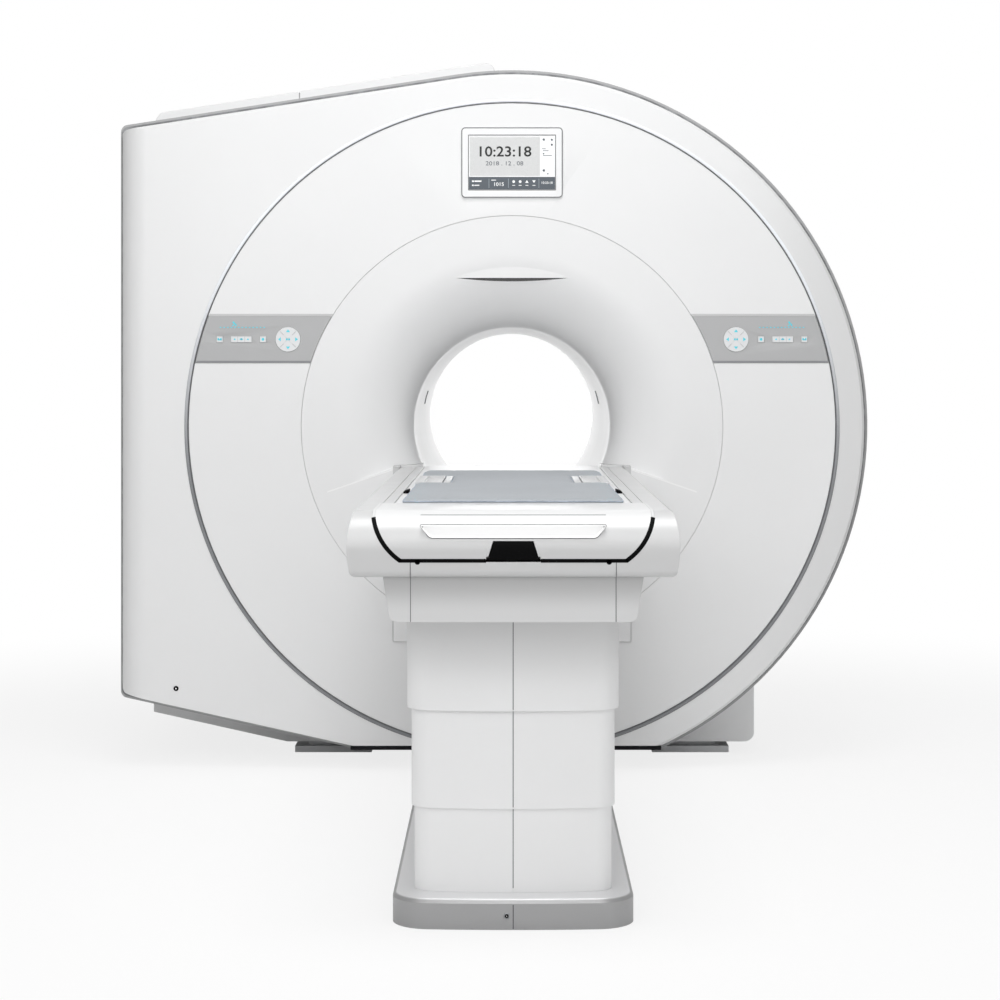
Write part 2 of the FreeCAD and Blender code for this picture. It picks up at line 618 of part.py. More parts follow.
def annulus_cover():
    """Flat ring of the front, pocketed for the panels, open for the display and the table's channel."""
    back = FRONT_Y + WALL
    plate = tube(RING_INNER_R, ANNULUS_INNER_R, FRONT_Y, back)
    pocket = box(0, SHELL_R, FRONT_Y - 1, FRONT_Y + PANEL_THICK,
                 ISO_Z + PANEL_LOW - SEAM, ISO_Z + PANEL_HIGH + SEAM)
    for opening in (pocket, switch_window()):
        plate = plate.cut(opening).cut(mirrored(opening))
    half_w, half_h = display_opening()
    z = ISO_Z + DISPLAY_Z
    plate = plate.cut(box(-half_w, half_w, FRONT_Y - 1, back + 1, z - half_h, z + half_h))
    return plate.cut(dock_channel(0, FRONT_Y - 1, back + 1))


def above_shelf(extra):
    """Everything above the bowl's shelf, which is level at the table and slopes down to each side."""
    level = ISO_Z - FUNNEL_CREASE_DROP - extra
    fall = math.tan(math.radians(FUNNEL_SHELF_SLOPE)) * (SHELL_R - FUNNEL_CREASE_X)
    return polygon_y([
        (-FUNNEL_CREASE_X, level),
        (FUNNEL_CREASE_X, level),
        (SHELL_R, level - fall),
        (SHELL_R, ISO_Z + SHELL_R),
        (-SHELL_R, ISO_Z + SHELL_R),
        (-SHELL_R, level - fall),
    ], FRONT_Y - 10, DOCK_REAR_Y)


def bell_profile(radius, start, steps):
    """Points (radius from the axis, y) of the bell's quarter-round section, from its mouth to the bore."""
    points = []
    for step in range(steps + 1):
        angle = math.radians(start + (90 - start) * step / steps)
        points.append((FUNNEL_FLAT_R - radius * math.sin(angle), DOCK_REAR_Y - radius * math.cos(angle)))
    return points


def bowl_air():
    """Air in the funnel: a bell that opens to the front, above the shelf, less the laser visor."""
    front = FRONT_Y - 5
    bell = bell_profile(FUNNEL_ROUND_R, 0, FUNNEL_STEPS)
    mouth = ring([(0, front), (FUNNEL_FLAT_R, front)] + bell + [(0, DOCK_REAR_Y)])
    visor = box(-FUNNEL_FLAT_R, FUNNEL_FLAT_R, FRONT_Y + VISOR_SETBACK, DOCK_REAR_Y,
                ISO_Z + VISOR_Z, ISO_Z + FUNNEL_FLAT_R)
    return mouth.common(above_shelf(0)).cut(visor)


def laser_slot(front, rear):
    """Crescent under the visor, as a prism between two depths behind the front plane."""
    y0 = FRONT_Y + front
    z = ISO_Z + VISOR_Z
    wire = outline(V(-SLOT_HALF_W, y0, z), V(SLOT_HALF_W, y0, z),
                   (V(0, y0, z - SLOT_SAG), V(-SLOT_HALF_W, y0, z)))
    return prism(wire, V(0, rear - front, 0))


def funnel_cover():
    """Inner front cover: a flat rim that turns into the bore, with the shelf and the table's channel."""
    plate = disc(ANNULUS_INNER_R - SEAM, FRONT_Y, FRONT_Y + WALL)
    mouth_r = FUNNEL_FLAT_R + WALL
    back = ring([
        (0, FRONT_Y),
        (mouth_r, FRONT_Y),
        (mouth_r, FRONT_Y + WALL),
        bell_profile(FUNNEL_ROUND_R - WALL, FUNNEL_KNEE, 1)[0],
        (BORE_R + WALL, DOCK_REAR_Y),
        (0, DOCK_REAR_Y),
    ])
    body = plate.fuse(back.common(above_shelf(WALL)))
    body = body.cut(bowl_air()).cut(laser_slot(-1, SLOT_DEPTH))
    return body.cut(dock_channel(0, FRONT_Y - 1, DOCK_REAR_Y + 1))


def laser_window():
    """Dark lens that fills the crescent slot behind its mouth."""
    return laser_slot(WINDOW_SETBACK, WINDOW_SETBACK + WINDOW_THICK)


def docking_bay():
    """Liner of the table's channel: side walls, floor and back, open at the top, with a front flange."""
    front = FRONT_Y + WALL
    rear = DOCK_REAR_Y + WALL
    top = ISO_Z - FUNNEL_CREASE_DROP - DOCK_LINER_DROP
    outer = dock_channel(WALL, front, rear)
    flange = dock_channel(WALL + DOCK_FLANGE, front, front + DOCK_FLANGE_THICK)
    liner = outer.fuse(flange).cut(dock_channel(0, front - 1, DOCK_REAR_Y))
    liner = liner.cut(disc(BORE_R + WALL + SEAM, front, rear + 1))
    high = box(-SHELL_R, SHELL_R, front - 1, rear + 1, top, ISO_Z)
    return liner.cut(high)


def bore_liner():
    """Tube that lines the patient bore."""
    return tube(BORE_R + WALL, BORE_R, DOCK_REAR_Y, BORE_REAR_Y)


def bore_ports():
    """Small inlays in the side walls of the bore."""
    sleeve = tube(BORE_R, BORE_R - PORT_THICK, PORT_Y, PORT_Y + PORT_W)
    band = box(0, BORE_R, PORT_Y, PORT_Y + PORT_W, ISO_Z + PORT_LOW, ISO_Z + PORT_HIGH)
    return pair(sleeve.common(band))


def rear_cover():
    """Plain rear cover, flush with the side shell, moulded in one piece with the bore's flared mouth."""
    shell = gantry_prism(0, 0, SHELL_REAR_Y, REAR_Y)
    shell = shell.cut(gantry_prism(WALL, WALL, SHELL_REAR_Y - 1, REAR_Y - WALL))
    flare = ring([
        (0, REAR_Y),
        (REAR_MOUTH_R + WALL, REAR_Y),
        (BORE_R + WALL, BORE_REAR_Y),
        (0, BORE_REAR_Y),
    ])
    mouth = ring([
        (0, REAR_Y + 1),
        (REAR_MOUTH_R, REAR_Y + 1),
        (REAR_MOUTH_R, REAR_Y),
        (BORE_R, BORE_REAR_Y),
        (0, BORE_REAR_Y),
    ])
    return shell.fuse(flare).cut(mouth)


# ------------------------------------------------------------------ roof covers and skirt
def roof_block(inset, drop):
    """Block on the sloping roof; inset moves its sides in, and drop lowers its top."""
    left, right = -TOP_COVER_LEFT + inset, -TOP_COVER_RIGHT - inset
    y0, y1 = -TOP_COVER_HALF_Y + inset, TOP_COVER_HALF_Y - inset
    rise = TOP_COVER_RISE / math.cos(math.radians(SHELL_TOP_SLOPE)) - drop
    low = ISO_Z + SHELL_R / 2
    block = polygon_y([
        (left, low),
        (left, ISO_Z + roof_height(left) + rise),
        (right, ISO_Z + roof_height(right) + rise),
        (right, low),
    ], y0, y1)
    ends = along_y_edges(block, right + 1)
    top = [edge for edge in ends if edge.Vertexes[0].Point.z > low + 1]
    return block.makeFillet(TOP_COVER_CORNER_R - inset, top)


def roof_covers():
    """The raised roof cover, in two halves with a seam between them."""
    left = roof_cover(-TOP_COVER_LEFT - 1, -TOP_COVER_SEAM - SEAM / 2)
    right = roof_cover(-TOP_COVER_SEAM + SEAM / 2, -TOP_COVER_RIGHT + 1)
    return Part.makeCompound([left, right])


def roof_cover(x0, x1):
    """Part of the raised roof cover between two planes: a shell that stands on the side shell."""
    outer = roof_block(0, 0)
    inner = roof_block(WALL, WALL)
    gantry = gantry_prism(0, 0, -TOP_COVER_HALF_Y - 1, TOP_COVER_HALF_Y + 1)
    span = box(x0, x1, -SHELL_LEFT, SHELL_LEFT, 0, 2 * ISO_Z + SHELL_R)
    return outer.cut(inner).cut(gantry).common(span)


def gantry_skirt():
    """Walls that hide the magnet's feet, open underneath, with a sloping edge on the left."""
    slope = math.radians(SHELL_FOOT_SLOPE)
    drop = SKIRT_DROP / math.cos(slope)
    high = ISO_Z - SHELL_R * 0.65
    flat_x = -SHELL_LEFT + (SHELL_BOTTOM - SHELL_FOOT_DROP) / math.tan(slope)
    flat_x -= (drop - (SHELL_CLEAR - SKIRT_CLEAR)) / math.tan(slope)
    walls = polygon_y([
        (-SKIRT_LEFT, high),
        (-SKIRT_LEFT, ISO_Z + underside_height(-SKIRT_LEFT) - drop),
        (flat_x, SKIRT_CLEAR),
        (SKIRT_RIGHT, SKIRT_CLEAR),
        (SKIRT_RIGHT, high),
    ], -SKIRT_HALF_Y, SKIRT_HALF_Y)
    corner = [edge for edge in along_y_edges(walls, SKIRT_RIGHT + 1)
              if edge.Vertexes[0].Point.x > 0 and edge.Vertexes[0].Point.z < high - 1]
    walls = walls.makeFillet(SKIRT_CORNER_R, corner)
    room = box(-SKIRT_LEFT + WALL, SKIRT_RIGHT - WALL, -SKIRT_HALF_Y + WALL, SKIRT_HALF_Y - WALL, 0, high + 1)
    return walls.cut(room).cut(gantry_prism(0, 0, -SKIRT_HALF_Y - 1, SKIRT_HALF_Y + 1))


# ------------------------------------------------------------------ panels, keys and display
def control_panel():
    """Right-hand control panel: an inlay across the annulus with holes for its keys."""
    back = FRONT_Y + PANEL_THICK
    plate = tube(RING_INNER_R - 2 * SEAM, ANNULUS_INNER_R + SEAM, FRONT_Y, back)
    plate = plate.common(box(0, SHELL_R, FRONT_Y, back, ISO_Z + PANEL_LOW, ISO_Z + PANEL_HIGH))
    z = ISO_Z + KEY_ROW
    plate = plate.cut(bar_y(PAD_R + KEY_CLEARANCE, PAD_X, z, FRONT_Y - 1, back + 1))
    for x, width in ((KEY_INNER_X, KEY_W), (KEY_BAR_X, KEY_BAR_W), (KEY_OUTER_X, KEY_W)):
        half_w, half_h = width / 2 + KEY_CLEARANCE, KEY_H / 2 + KEY_CLEARANCE
        plate = plate.cut(box(x - half_w, x + half_w, FRONT_Y - 1, back + 1, z - half_h, z + half_h))
    return plate


def pad_key():
    """The round pad: one key that tips to four sides, parted by two shallow grooves."""
    y0 = FRONT_Y - KEY_PROUD
    z = ISO_Z + KEY_ROW
    key = bar_y(PAD_R, PAD_X, z, y0, y0 + KEY_LENGTH)
    reach = PAD_R + 1
    groove = box(-reach, reach, y0 - 1, y0 + PAD_GROOVE, -PAD_GROOVE, PAD_GROOVE)
    for turn in (45, 135):
        diagonal = groove.copy()
        diagonal.rotate(V(0, 0, 0), AWAY, turn)
        diagonal.translate(V(PAD_X, 0, z))
        key = key.cut(diagonal)
    return key


def row_key(x, width):
    """Key of the row, with a retaining rim behind the panel."""
    z = ISO_Z + KEY_ROW
    y0 = FRONT_Y - KEY_PROUD
    half_w, half_h = width / 2, KEY_H / 2
    cap = box(x - half_w, x + half_w, y0, y0 + KEY_LENGTH, z - half_h, z + half_h)
    rim_y = FRONT_Y + PANEL_THICK + KEY_CLEARANCE
    rim = box(x - half_w - KEY_RIM, x + half_w + KEY_RIM, rim_y, rim_y + KEY_RIM,
              z - half_h - KEY_RIM, z + half_h + KEY_RIM)
    return cap.fuse(rim)


def switch_box():
    """Tray behind the right-hand panel's keys."""
    front = FRONT_Y + WALL
    z0, z1 = ISO_Z + KEY_ROW - SWITCH_HALF_H, ISO_Z + KEY_ROW + SWITCH_HALF_H
    tray = box(SWITCH_X0, SWITCH_X1, front, front + SWITCH_DEPTH, z0, z1)
    room = box(SWITCH_X0 + SWITCH_WALL, SWITCH_X1 - SWITCH_WALL, front - 1, front + SWITCH_DEPTH - SWITCH_WALL,
               z0 + SWITCH_WALL, z1 - SWITCH_WALL)
    return tray.cut(room)


def switch_window():
    """Opening in the annulus between the panel and its switch box."""
    edge = SWITCH_WALL + 2
    z0, z1 = ISO_Z + KEY_ROW - SWITCH_HALF_H + edge, ISO_Z + KEY_ROW + SWITCH_HALF_H - edge
    return box(SWITCH_X0 + edge, SWITCH_X1 - edge, FRONT_Y, FRONT_Y + WALL + 1, z0, z1)


def rounded_plate(width, height, corner, y0, y1, z):
    """Upright plate with rounded corners, centred on X = 0."""
    plate = box(-width / 2, width / 2, y0, y1, z - height / 2, z + height / 2)
    return plate.makeFillet(corner, along_y_edges(plate, width))


def display_bezel():
    """Frame and housing of the gantry display."""
    z = ISO_Z + DISPLAY_Z
    face = rounded_plate(DISPLAY_W, DISPLAY_H, DISPLAY_CORNER_R, FRONT_Y - DISPLAY_PROUD, FRONT_Y, z)
    half_w, half_h = display_opening()
    half_w, half_h = half_w - SEAM, half_h - SEAM
    body = box(-half_w, half_w, FRONT_Y, FRONT_Y + DISPLAY_DEPTH, z - half_h, z + half_h)
    seat = SCREEN_SETBACK + SCREEN_THICK - DISPLAY_PROUD
    pane = box(-SCREEN_W / 2, SCREEN_W / 2, FRONT_Y - 2 * DISPLAY_PROUD, FRONT_Y + seat,
               z - SCREEN_H / 2, z + SCREEN_H / 2)
    half_w, half_h = SCREEN_W / 2 - SCREEN_LEDGE, SCREEN_H / 2 - SCREEN_LEDGE
    room = box(-half_w, half_w, FRONT_Y - DISPLAY_PROUD, FRONT_Y + DISPLAY_DEPTH - SCREEN_LEDGE,
               z - half_h, z + half_h)
    return face.fuse(body).cut(pane).cut(room)


def display_opening():
    """Half width and half height of the display's opening in the annulus."""
    return DISPLAY_W / 2 - DISPLAY_CORNER_R, DISPLAY_H / 2 - DISPLAY_CORNER_R


def display_screen():
    """Glass of the display, in its seat."""
    z = ISO_Z + DISPLAY_Z
    y0 = FRONT_Y - DISPLAY_PROUD + SCREEN_SETBACK
    return box(-SCREEN_W / 2, SCREEN_W / 2, y0, y0 + SCREEN_THICK, z - SCREEN_H / 2, z + SCREEN_H / 2)


def cover_locks():
    """Quarter-turn locks: one in the front cover's lower left, one in the table's base."""
    gantry = bar_y(LOCK_R, LOCK_X, LOCK_Z, FRONT_Y - LOCK_HEAD, FRONT_Y + WALL)
    face = BASE_FOOT_Y + base_bow(BASE_LOCK_X)
    base = bar_y(BASE_LOCK_R, BASE_LOCK_X, BASE_LOCK_Z, face - LOCK_HEAD, face + BASE_WALL)
    return Part.makeCompound([gantry, base])


# ------------------------------------------------------------------ magnet
def magnet_vessel():
    """Cryostat of the superconducting magnet."""
    return tube(VESSEL_R, VESSEL_BORE_R, -VESSEL_HALF_L, VESSEL_HALF_L)


def gradient_coil():
    """Gradient coil, seated in the vessel's bore."""
    return tube(VESSEL_BORE_R, GRADIENT_INNER_R, -GRADIENT_HALF_L, GRADIENT_HALF_L)


def body_coil():
    """Radio-frequency body coil: a former between the gradient coil and the bore liner."""
    return tube(GRADIENT_INNER_R, BORE_R + WALL, -BODY_COIL_HALF_L, BODY_COIL_HALF_L)


def magnet_feet():
    """Four feet under the vessel, each a pillar on a plate with its anchor hole."""
    vessel = disc(VESSEL_R, -VESSEL_HALF_L, VESSEL_HALF_L)
    half, plate = FOOT_PILLAR / 2, FOOT_PLATE / 2
    feet = []
    for sx in (-1, 1):
        for sy in (-1, 1):
            x, y = sx * FOOT_X, sy * FOOT_Y
            pillar = box(x - half, x + half, y - half, y + half, 0, ISO_Z - VESSEL_R * 0.6).cut(vessel)
            foot = pillar.fuse(box(x - plate, x + plate, y - plate, y + plate, 0, FOOT_PLATE_THICK))
            hole = post(MAGNET_BOLT_HOLE_R, sx * MAGNET_BOLT_X, sy * MAGNET_BOLT_Y, -1, FOOT_PLATE_THICK + 1)
            feet.append(foot.cut(hole))
    return Part.makeCompound(feet)


def service_turret():
    """Neck of the cryostat under the raised roof cover, with the cryocooler standing on it."""
    top = ISO_Z + TURRET_TOP
    neck = post(TURRET_R, TURRET_X, 0, ISO_Z, top).cut(disc(VESSEL_R, -VESSEL_HALF_L, VESSEL_HALF_L))
    cooler = post(COLD_HEAD_R, TURRET_X, 0, top, top + COLD_HEAD_HEIGHT)
    return Part.makeCompound([neck, cooler])


def bore_bridge():
    """Flat bridge that carries the cradle through the bore, on two ribs."""
    top = ISO_Z - BRIDGE_DROP
    inside = disc(BORE_R, DOCK_REAR_Y + BRIDGE_END_GAP, BORE_REAR_Y)
    deck = box(-BORE_R, BORE_R, DOCK_REAR_Y, BORE_REAR_Y, top - BRIDGE_THICK, top)
    for x in (-BRIDGE_RIB_X, BRIDGE_RIB_X):
        half = BRIDGE_THICK / 2
        deck = deck.fuse(box(x - half, x + half, DOCK_REAR_Y, BORE_REAR_Y, ISO_Z - BORE_R, top - BRIDGE_THICK))
    return deck.common(inside)


def bridge_strips():
    """Low-friction strips on the bridge, just under the cradle."""
    top = ISO_Z - BRIDGE_DROP
    half = STRIP_W / 2
    strip = box(STRIP_X - half, STRIP_X + half, DOCK_REAR_Y + BRIDGE_END_GAP, BORE_REAR_Y,
                top, CRADLE_LOW_Z - SLIDE_GAP)
    return pair(strip)


# ------------------------------------------------------------------ table: lifting column and base
def column_plan(step, z):
    """Plan of a column section that stands step outside the lower one: bowed ends and round corners."""
    half_w = COLUMN_HALF_W + step
    return bowed_plan(half_w, COLUMN_CORNER_R + step, COLUMN_BOW_R + step,
                      COLUMN_FOOT_Y - step, COLUMN_HEAD_Y + step, z)


def bowed_plan(half_w, corner, bow_r, foot_y, head_y, z):
    """Closed plan outline, symmetrical both ways, whose ends bow outwards and run into round corners."""
    lift = math.sqrt((bow_r - corner) ** 2 - (half_w - corner) ** 2)
    centre_y = foot_y + bow_r - lift
    reach = bow_r / (bow_r - corner)
    touch_x = (half_w - corner) * reach
    touch_y = foot_y + bow_r - lift * reach
    angle = math.atan2(lift, half_w - corner) / 2
    knee_x = half_w - corner + corner * math.cos(angle)
    knee_y = centre_y - corner * math.sin(angle)
    turned = foot_y + head_y

    def at(x, y):
        return V(x, y, z)

    return outline(
        at(-touch_x, touch_y),
        (at(0, foot_y), at(touch_x, touch_y)),
        (at(knee_x, knee_y), at(half_w, centre_y)),
        at(half_w, turned - centre_y),
        (at(knee_x, turned - knee_y), at(touch_x, turned - touch_y)),
        (at(0, head_y), at(-touch_x, turned - touch_y)),
        (at(-knee_x, turned - knee_y), at(-half_w, turned - centre_y)),
        at(-half_w, centre_y),
        (at(-knee_x, knee_y), at(-touch_x, touch_y)),
    )


def base_bow(x):
    """How far the base's front face falls back from its foremost point at x."""
    return BASE_BOW_R - math.sqrt(BASE_BOW_R ** 2 - x ** 2)


def column_section(step, wall, z0, z1):
    """One telescoping section: a tube with a fine upright seam on its front."""
    outer = prism(column_plan(step, z0), V(0, 0, z1 - z0))
    inner = prism(column_plan(step - wall, z0 - 1), V(0, 0, z1 - z0 + 2))
    face = COLUMN_FOOT_Y - step
    seam = box(-COLUMN_SEAM / 2, COLUMN_SEAM / 2, face - 1, face + COLUMN_SEAM, z0 - 1, z1 + 1)
    return outer.cut(inner).cut(seam)


def column_lower():
    """Fixed section on the base."""
    return column_section(0, COLUMN_WALL, BASE_HEIGHT, COLUMN_LOWER_TOP_Z)


def column_middle():
    """Section that moves half as far as the table."""
    return column_section(COLUMN_STEP_MIDDLE, COLUMN_WALL, COLUMN_MIDDLE_LOW_Z, COLUMN_MIDDLE_TOP_Z)


def column_upper():
    """Section that hangs from the carrier."""
    return column_section(COLUMN_STEP_UPPER, COLUMN_WALL, COLUMN_UPPER_LOW_Z, CARRIER_BOTTOM_Z)


def base_plan(inset, z):
    """Plan of the table's base."""
    return bowed_plan(BASE_HALF_W - inset, BASE_CORNER_R - inset, BASE_BOW_R - inset,
                      BASE_FOOT_Y + inset, BASE_HEAD_Y - inset, z)


def base_cover():
    """Cover of the base: bevelled, hollow, and open at the top inside the column."""
    outer = prism(base_plan(0, 0), V(0, 0, BASE_HEIGHT))
    rim = [edge for edge in outer.Edges if min(v.Point.z for v in edge.Vertexes) > BASE_HEIGHT - 1]
    outer = outer.makeChamfer(BASE_BEVEL, rim)
    inner = prism(base_plan(BASE_WALL, -1), V(0, 0, BASE_HEIGHT + 1 - BASE_BEVEL))
    opening = prism(column_plan(-COLUMN_WALL, 0), V(0, 0, BASE_HEIGHT + 1))
    lock = bar_y(BASE_LOCK_R, BASE_LOCK_X, BASE_LOCK_Z, BASE_FOOT_Y - 5, BASE_FOOT_Y + 2 * BASE_WALL)
    seam = box(-COLUMN_SEAM / 2, COLUMN_SEAM / 2, BASE_FOOT_Y - 1, BASE_FOOT_Y + COLUMN_SEAM,
               -1, BASE_HEIGHT - BASE_BEVEL)
    return outer.cut(inner).cut(opening).cut(lock).cut(seam)


def base_plate():
    """Steel plate that carries the lift, with the table's four anchor holes."""
    half_w = BASE_HALF_W - BASE_WALL
    y0, y1 = BASE_FOOT_Y + BASE_PLATE_SETBACK, BASE_HEAD_Y - BASE_PLATE_SETBACK
    plate = box(-half_w, half_w, y0, y1, 0, BASE_PLATE_THICK)
    for x in (-TABLE_BOLT_X, TABLE_BOLT_X):
        for y in (y0 + TABLE_BOLT_END, y1 - TABLE_BOLT_END):
            plate = plate.cut(post(TABLE_BOLT_HOLE_R, x, y, -1, BASE_PLATE_THICK + 1))
    return plate


def mast_section(half, wall, z0, z1):
    """Square tube of the telescopic mast, upright in the middle of the column."""
    y = COLUMN_MID_Y
    tube_hole = half - wall
    outer = box(-half, half, y - half, y + half, z0, z1)
    return outer.cut(box(-tube_hole, tube_hole, y - tube_hole, y + tube_hole, z0 - 1, z1 + 1))


def mast_lower():
    """Fixed section of the lifting mast, on the base plate."""
    return mast_section(MAST_HALF, MAST_WALL, BASE_PLATE_THICK, MAST_LOWER_TOP_Z)


def mast_middle():
    """Middle section of the mast, held to the middle column section by a cross plate."""
    half = MAST_HALF - MAST_WALL - MAST_PLAY
    body = mast_section(half, MAST_WALL, MAST_MIDDLE_LOW_Z, MAST_MIDDLE_TOP_Z)
    low = MAST_MIDDLE_TOP_Z - MAST_WALL
    plate = prism(column_plan(COLUMN_STEP_MIDDLE - COLUMN_WALL, low), V(0, 0, MAST_WALL))
    hole = half - MAST_WALL
    y = COLUMN_MID_Y
    return body.fuse(plate).cut(box(-hole, hole, y - hole, y + hole, low - 1, MAST_MIDDLE_TOP_Z + 1))


def mast_upper():
    """Inner section of the mast, which carries the couch."""
    half = MAST_HALF - 2 * (MAST_WALL + MAST_PLAY)
    return mast_section(half, MAST_WALL, MAST_UPPER_LOW_Z, CARRIER_BOTTOM_Z)


# ------------------------------------------------------------------ table: couch
def couch_front(inset):
    """Front view of the housing as a wire: sides that swell a little, rounded edges."""
    y = COUCH_FOOT_Y - 20
    top, low = COUCH_TOP_Z - inset, COUCH_BOTTOM_Z + inset
    edge, foot = COUCH_EDGE_R, COUCH_FOOT_R
    near, far = 1 - math.sqrt(0.5), math.sqrt(0.5)
    w_top, w_mid, w_low = (w - inset for w in (COUCH_TOP_HALF_W, COUCH_HALF_W, COUCH_BOTTOM_HALF_W))
    mid_z = (top + low) / 2

    def at(x, z):
        return V(x, y, z)

    return outline(
        at(-w_top, top),
        at(w_top, top),
        (at(w_top + edge * far, top - edge * near), at(w_top + edge, top - edge)),
        (at(w_mid, mid_z), at(w_low + foot, low + foot)),
        (at(w_low + foot * far, low + foot * near), at(w_low, low)),
        at(-w_low, low),
        (at(-w_low - foot * far, low + foot * near), at(-w_low - foot, low + foot)),
        (at(-w_mid, mid_z), at(-w_top - edge, top - edge)),
        (at(-w_top - edge * far, top - edge * near), at(-w_top, top)),
    )


def couch_side(inset):
    """Side view of the couch as a wire: a rounded nose at the foot end."""
    top, low = COUCH_TOP_Z - inset, COUCH_BOTTOM_Z + inset
    foot, head = COUCH_FOOT_Y + inset, COUCH_HEAD_Y - inset
    near = 1 - math.sqrt(0.5)
    chin = COUCH_FOOT_R
    x = -SHELL_R

    def at(y, z):
        return V(x, y, z)

    return outline(
        at(head, low),
        at(head, top),
        at(foot + COUCH_NOSE_R, top),
        (at(foot + COUCH_NOSE_R * near, top - COUCH_NOSE_R * near), at(foot, top - COUCH_NOSE_R)),
        at(foot, low + chin),
        (at(foot + chin * near, low + chin * near), at(foot + chin, low)),
    )


def couch_body(inset):
    """Full outer form of the couch, or with an inset the space inside it."""
    length = COUCH_HEAD_Y - COUCH_FOOT_Y + 40
    lengthwise = prism(couch_front(inset), V(0, length, 0))
    return lengthwise.common(couch_side_space(inset))


def fascia_body(inset, front, rear):
    """Prism of the fascia's front view, moved in from its opening by inset."""
    high = COUCH_TOP_Z + 30

    def at(x, z):
        return V(x, front, z)

    low_w, mid_w, top_w = (w - inset for w in (FASCIA_LOW_HALF_W, FASCIA_MID_HALF_W, FASCIA_TOP_HALF_W))
    wire = outline(
        at(-low_w, FASCIA_LOW_Z + inset),
        at(low_w, FASCIA_LOW_Z + inset),
        (at(mid_w, FASCIA_MID_Z), at(top_w, FASCIA_TOP_Z)),
        at(top_w, high),
        at(-top_w, high),
        at(-top_w, FASCIA_TOP_Z),
        (at(-mid_w, FASCIA_MID_Z), at(-low_w, FASCIA_LOW_Z + inset)),
    )
    return prism(wire, V(0, rear - front, 0))


def couch_housing():
    """Tub of the couch: open at the top for the cradle and at the foot for the fascia."""
    shell = couch_body(0).cut(couch_body(COUCH_WALL))
    trough = box(-COUCH_OPENING_HALF_W, COUCH_OPENING_HALF_W, COUCH_SEAM_Y - 1, COUCH_HEAD_Y + 10,
                 CRADLE_LOW_Z - COUCH_WALL, COUCH_TOP_Z + 10)
    shell = shell.cut(trough).cut(fascia_body(0, COUCH_FOOT_Y - 10, COUCH_SEAM_Y))
    return shell.cut(front_grooves(COUCH_FOOT_Y, COUCH_BOTTOM_Z, FASCIA_LOW_Z))


def front_grooves(face, z0, z1):
    """Two fine upright seams on a front face."""
    half = COUCH_GROOVE / 2
    groove = box(COUCH_GROOVE_X - half, COUCH_GROOVE_X + half, face - 1, face + COUCH_GROOVE, z0 - 1, z1 + 1)
    return pair(groove)


def grip_pocket(grow, depth):
    """Tapered pocket of the fascia's hand grip."""
    y0 = COUCH_FOOT_Y - 10
    top_w, low_w = GRIP_TOP_HALF_W + grow, GRIP_LOW_HALF_W + grow
    pocket = polygon_y([
        (-top_w, GRIP_TOP_Z + grow),
        (top_w, GRIP_TOP_Z + grow),
        (low_w, GRIP_LOW_Z - grow),
        (-low_w, GRIP_LOW_Z - grow),
    ], y0, COUCH_FOOT_Y + depth)
    return pocket.makeFillet(GRIP_CORNER_R, along_y_edges(pocket, top_w + 1))


def latch_wedge(grow, y0, y1):
    """Trapezium of the release latch as a prism."""
    top_w, low_w = LATCH_TOP_HALF_W + grow, LATCH_LOW_HALF_W + grow
    return polygon_y([
        (-top_w, LATCH_TOP_Z + grow),
        (top_w, LATCH_TOP_Z + grow),
        (low_w, LATCH_LOW_Z - grow),
        (-low_w, LATCH_LOW_Z - grow),
    ], y0, y1)


def foot_fascia():
    """White end piece of the couch: a hood with a hand grip and the latch's opening, on two feet."""
    wall = FASCIA_WALL
    body = fascia_body(FASCIA_GAP, COUCH_FOOT_Y - 10, COUCH_SEAM_Y).common(couch_body(0))
    room = fascia_body(FASCIA_GAP + wall, COUCH_FOOT_Y - 10, COUCH_SEAM_Y + 1).common(couch_side_space(wall))
    grip = grip_pocket(GRIP_WALL, GRIP_DEPTH + GRIP_WALL).common(body)
    shell = body.cut(room).fuse(grip).cut(grip_pocket(0, GRIP_DEPTH))
    for x in (-FASCIA_FOOT_X, FASCIA_FOOT_X):
        y0, y1 = COUCH_FOOT_Y + FASCIA_FOOT_Y, COUCH_FOOT_Y + FASCIA_FOOT_Y + FASCIA_FOOT_L
        shell = shell.fuse(box(x - FASCIA_FOOT_W / 2, x + FASCIA_FOOT_W / 2, y0, y1,
                               COUCH_BOTTOM_Z + COUCH_WALL, FASCIA_LOW_Z + FASCIA_GAP + wall))
    opening = latch_wedge(LATCH_GAP, COUCH_FOOT_Y - 10, COUCH_FOOT_Y + LATCH_SWING)
    wide = LATCH_LOW_HALF_W + 2 * LATCH_GAP
    swing = box(-wide, wide, COUCH_FOOT_Y - 10, COUCH_FOOT_Y + LATCH_SWING,
                FASCIA_LOW_Z - 1, FASCIA_LOW_Z + FASCIA_GAP + wall + 1)
    shell = shell.cut(opening).cut(swing)
    for x in (-LATCH_BRACKET_X, LATCH_BRACKET_X):
        bracket = box(x - LATCH_BRACKET_W / 2, x + LATCH_BRACKET_W / 2, LATCH_PIN_Y - LATCH_LUG_REACH,
                      LATCH_PIN_Y + LATCH_LUG_REACH, LATCH_PIN_Z - LATCH_LUG_REACH, GRIP_LOW_Z - GRIP_WALL)
        shell = shell.fuse(bracket)
    return shell.cut(latch_pin())


def couch_side_space(inset):
    """Prism of the couch's side view, wider than the couch."""
    return prism(couch_side(inset), V(2 * SHELL_R, 0, 0))


def latch_pin():
    """Hinge pin of the release latch."""
    half = LATCH_BRACKET_X + LATCH_BRACKET_W / 2
    return Part.makeCylinder(LATCH_PIN_R, 2 * half, V(-half, LATCH_PIN_Y, LATCH_PIN_Z), RIGHT)


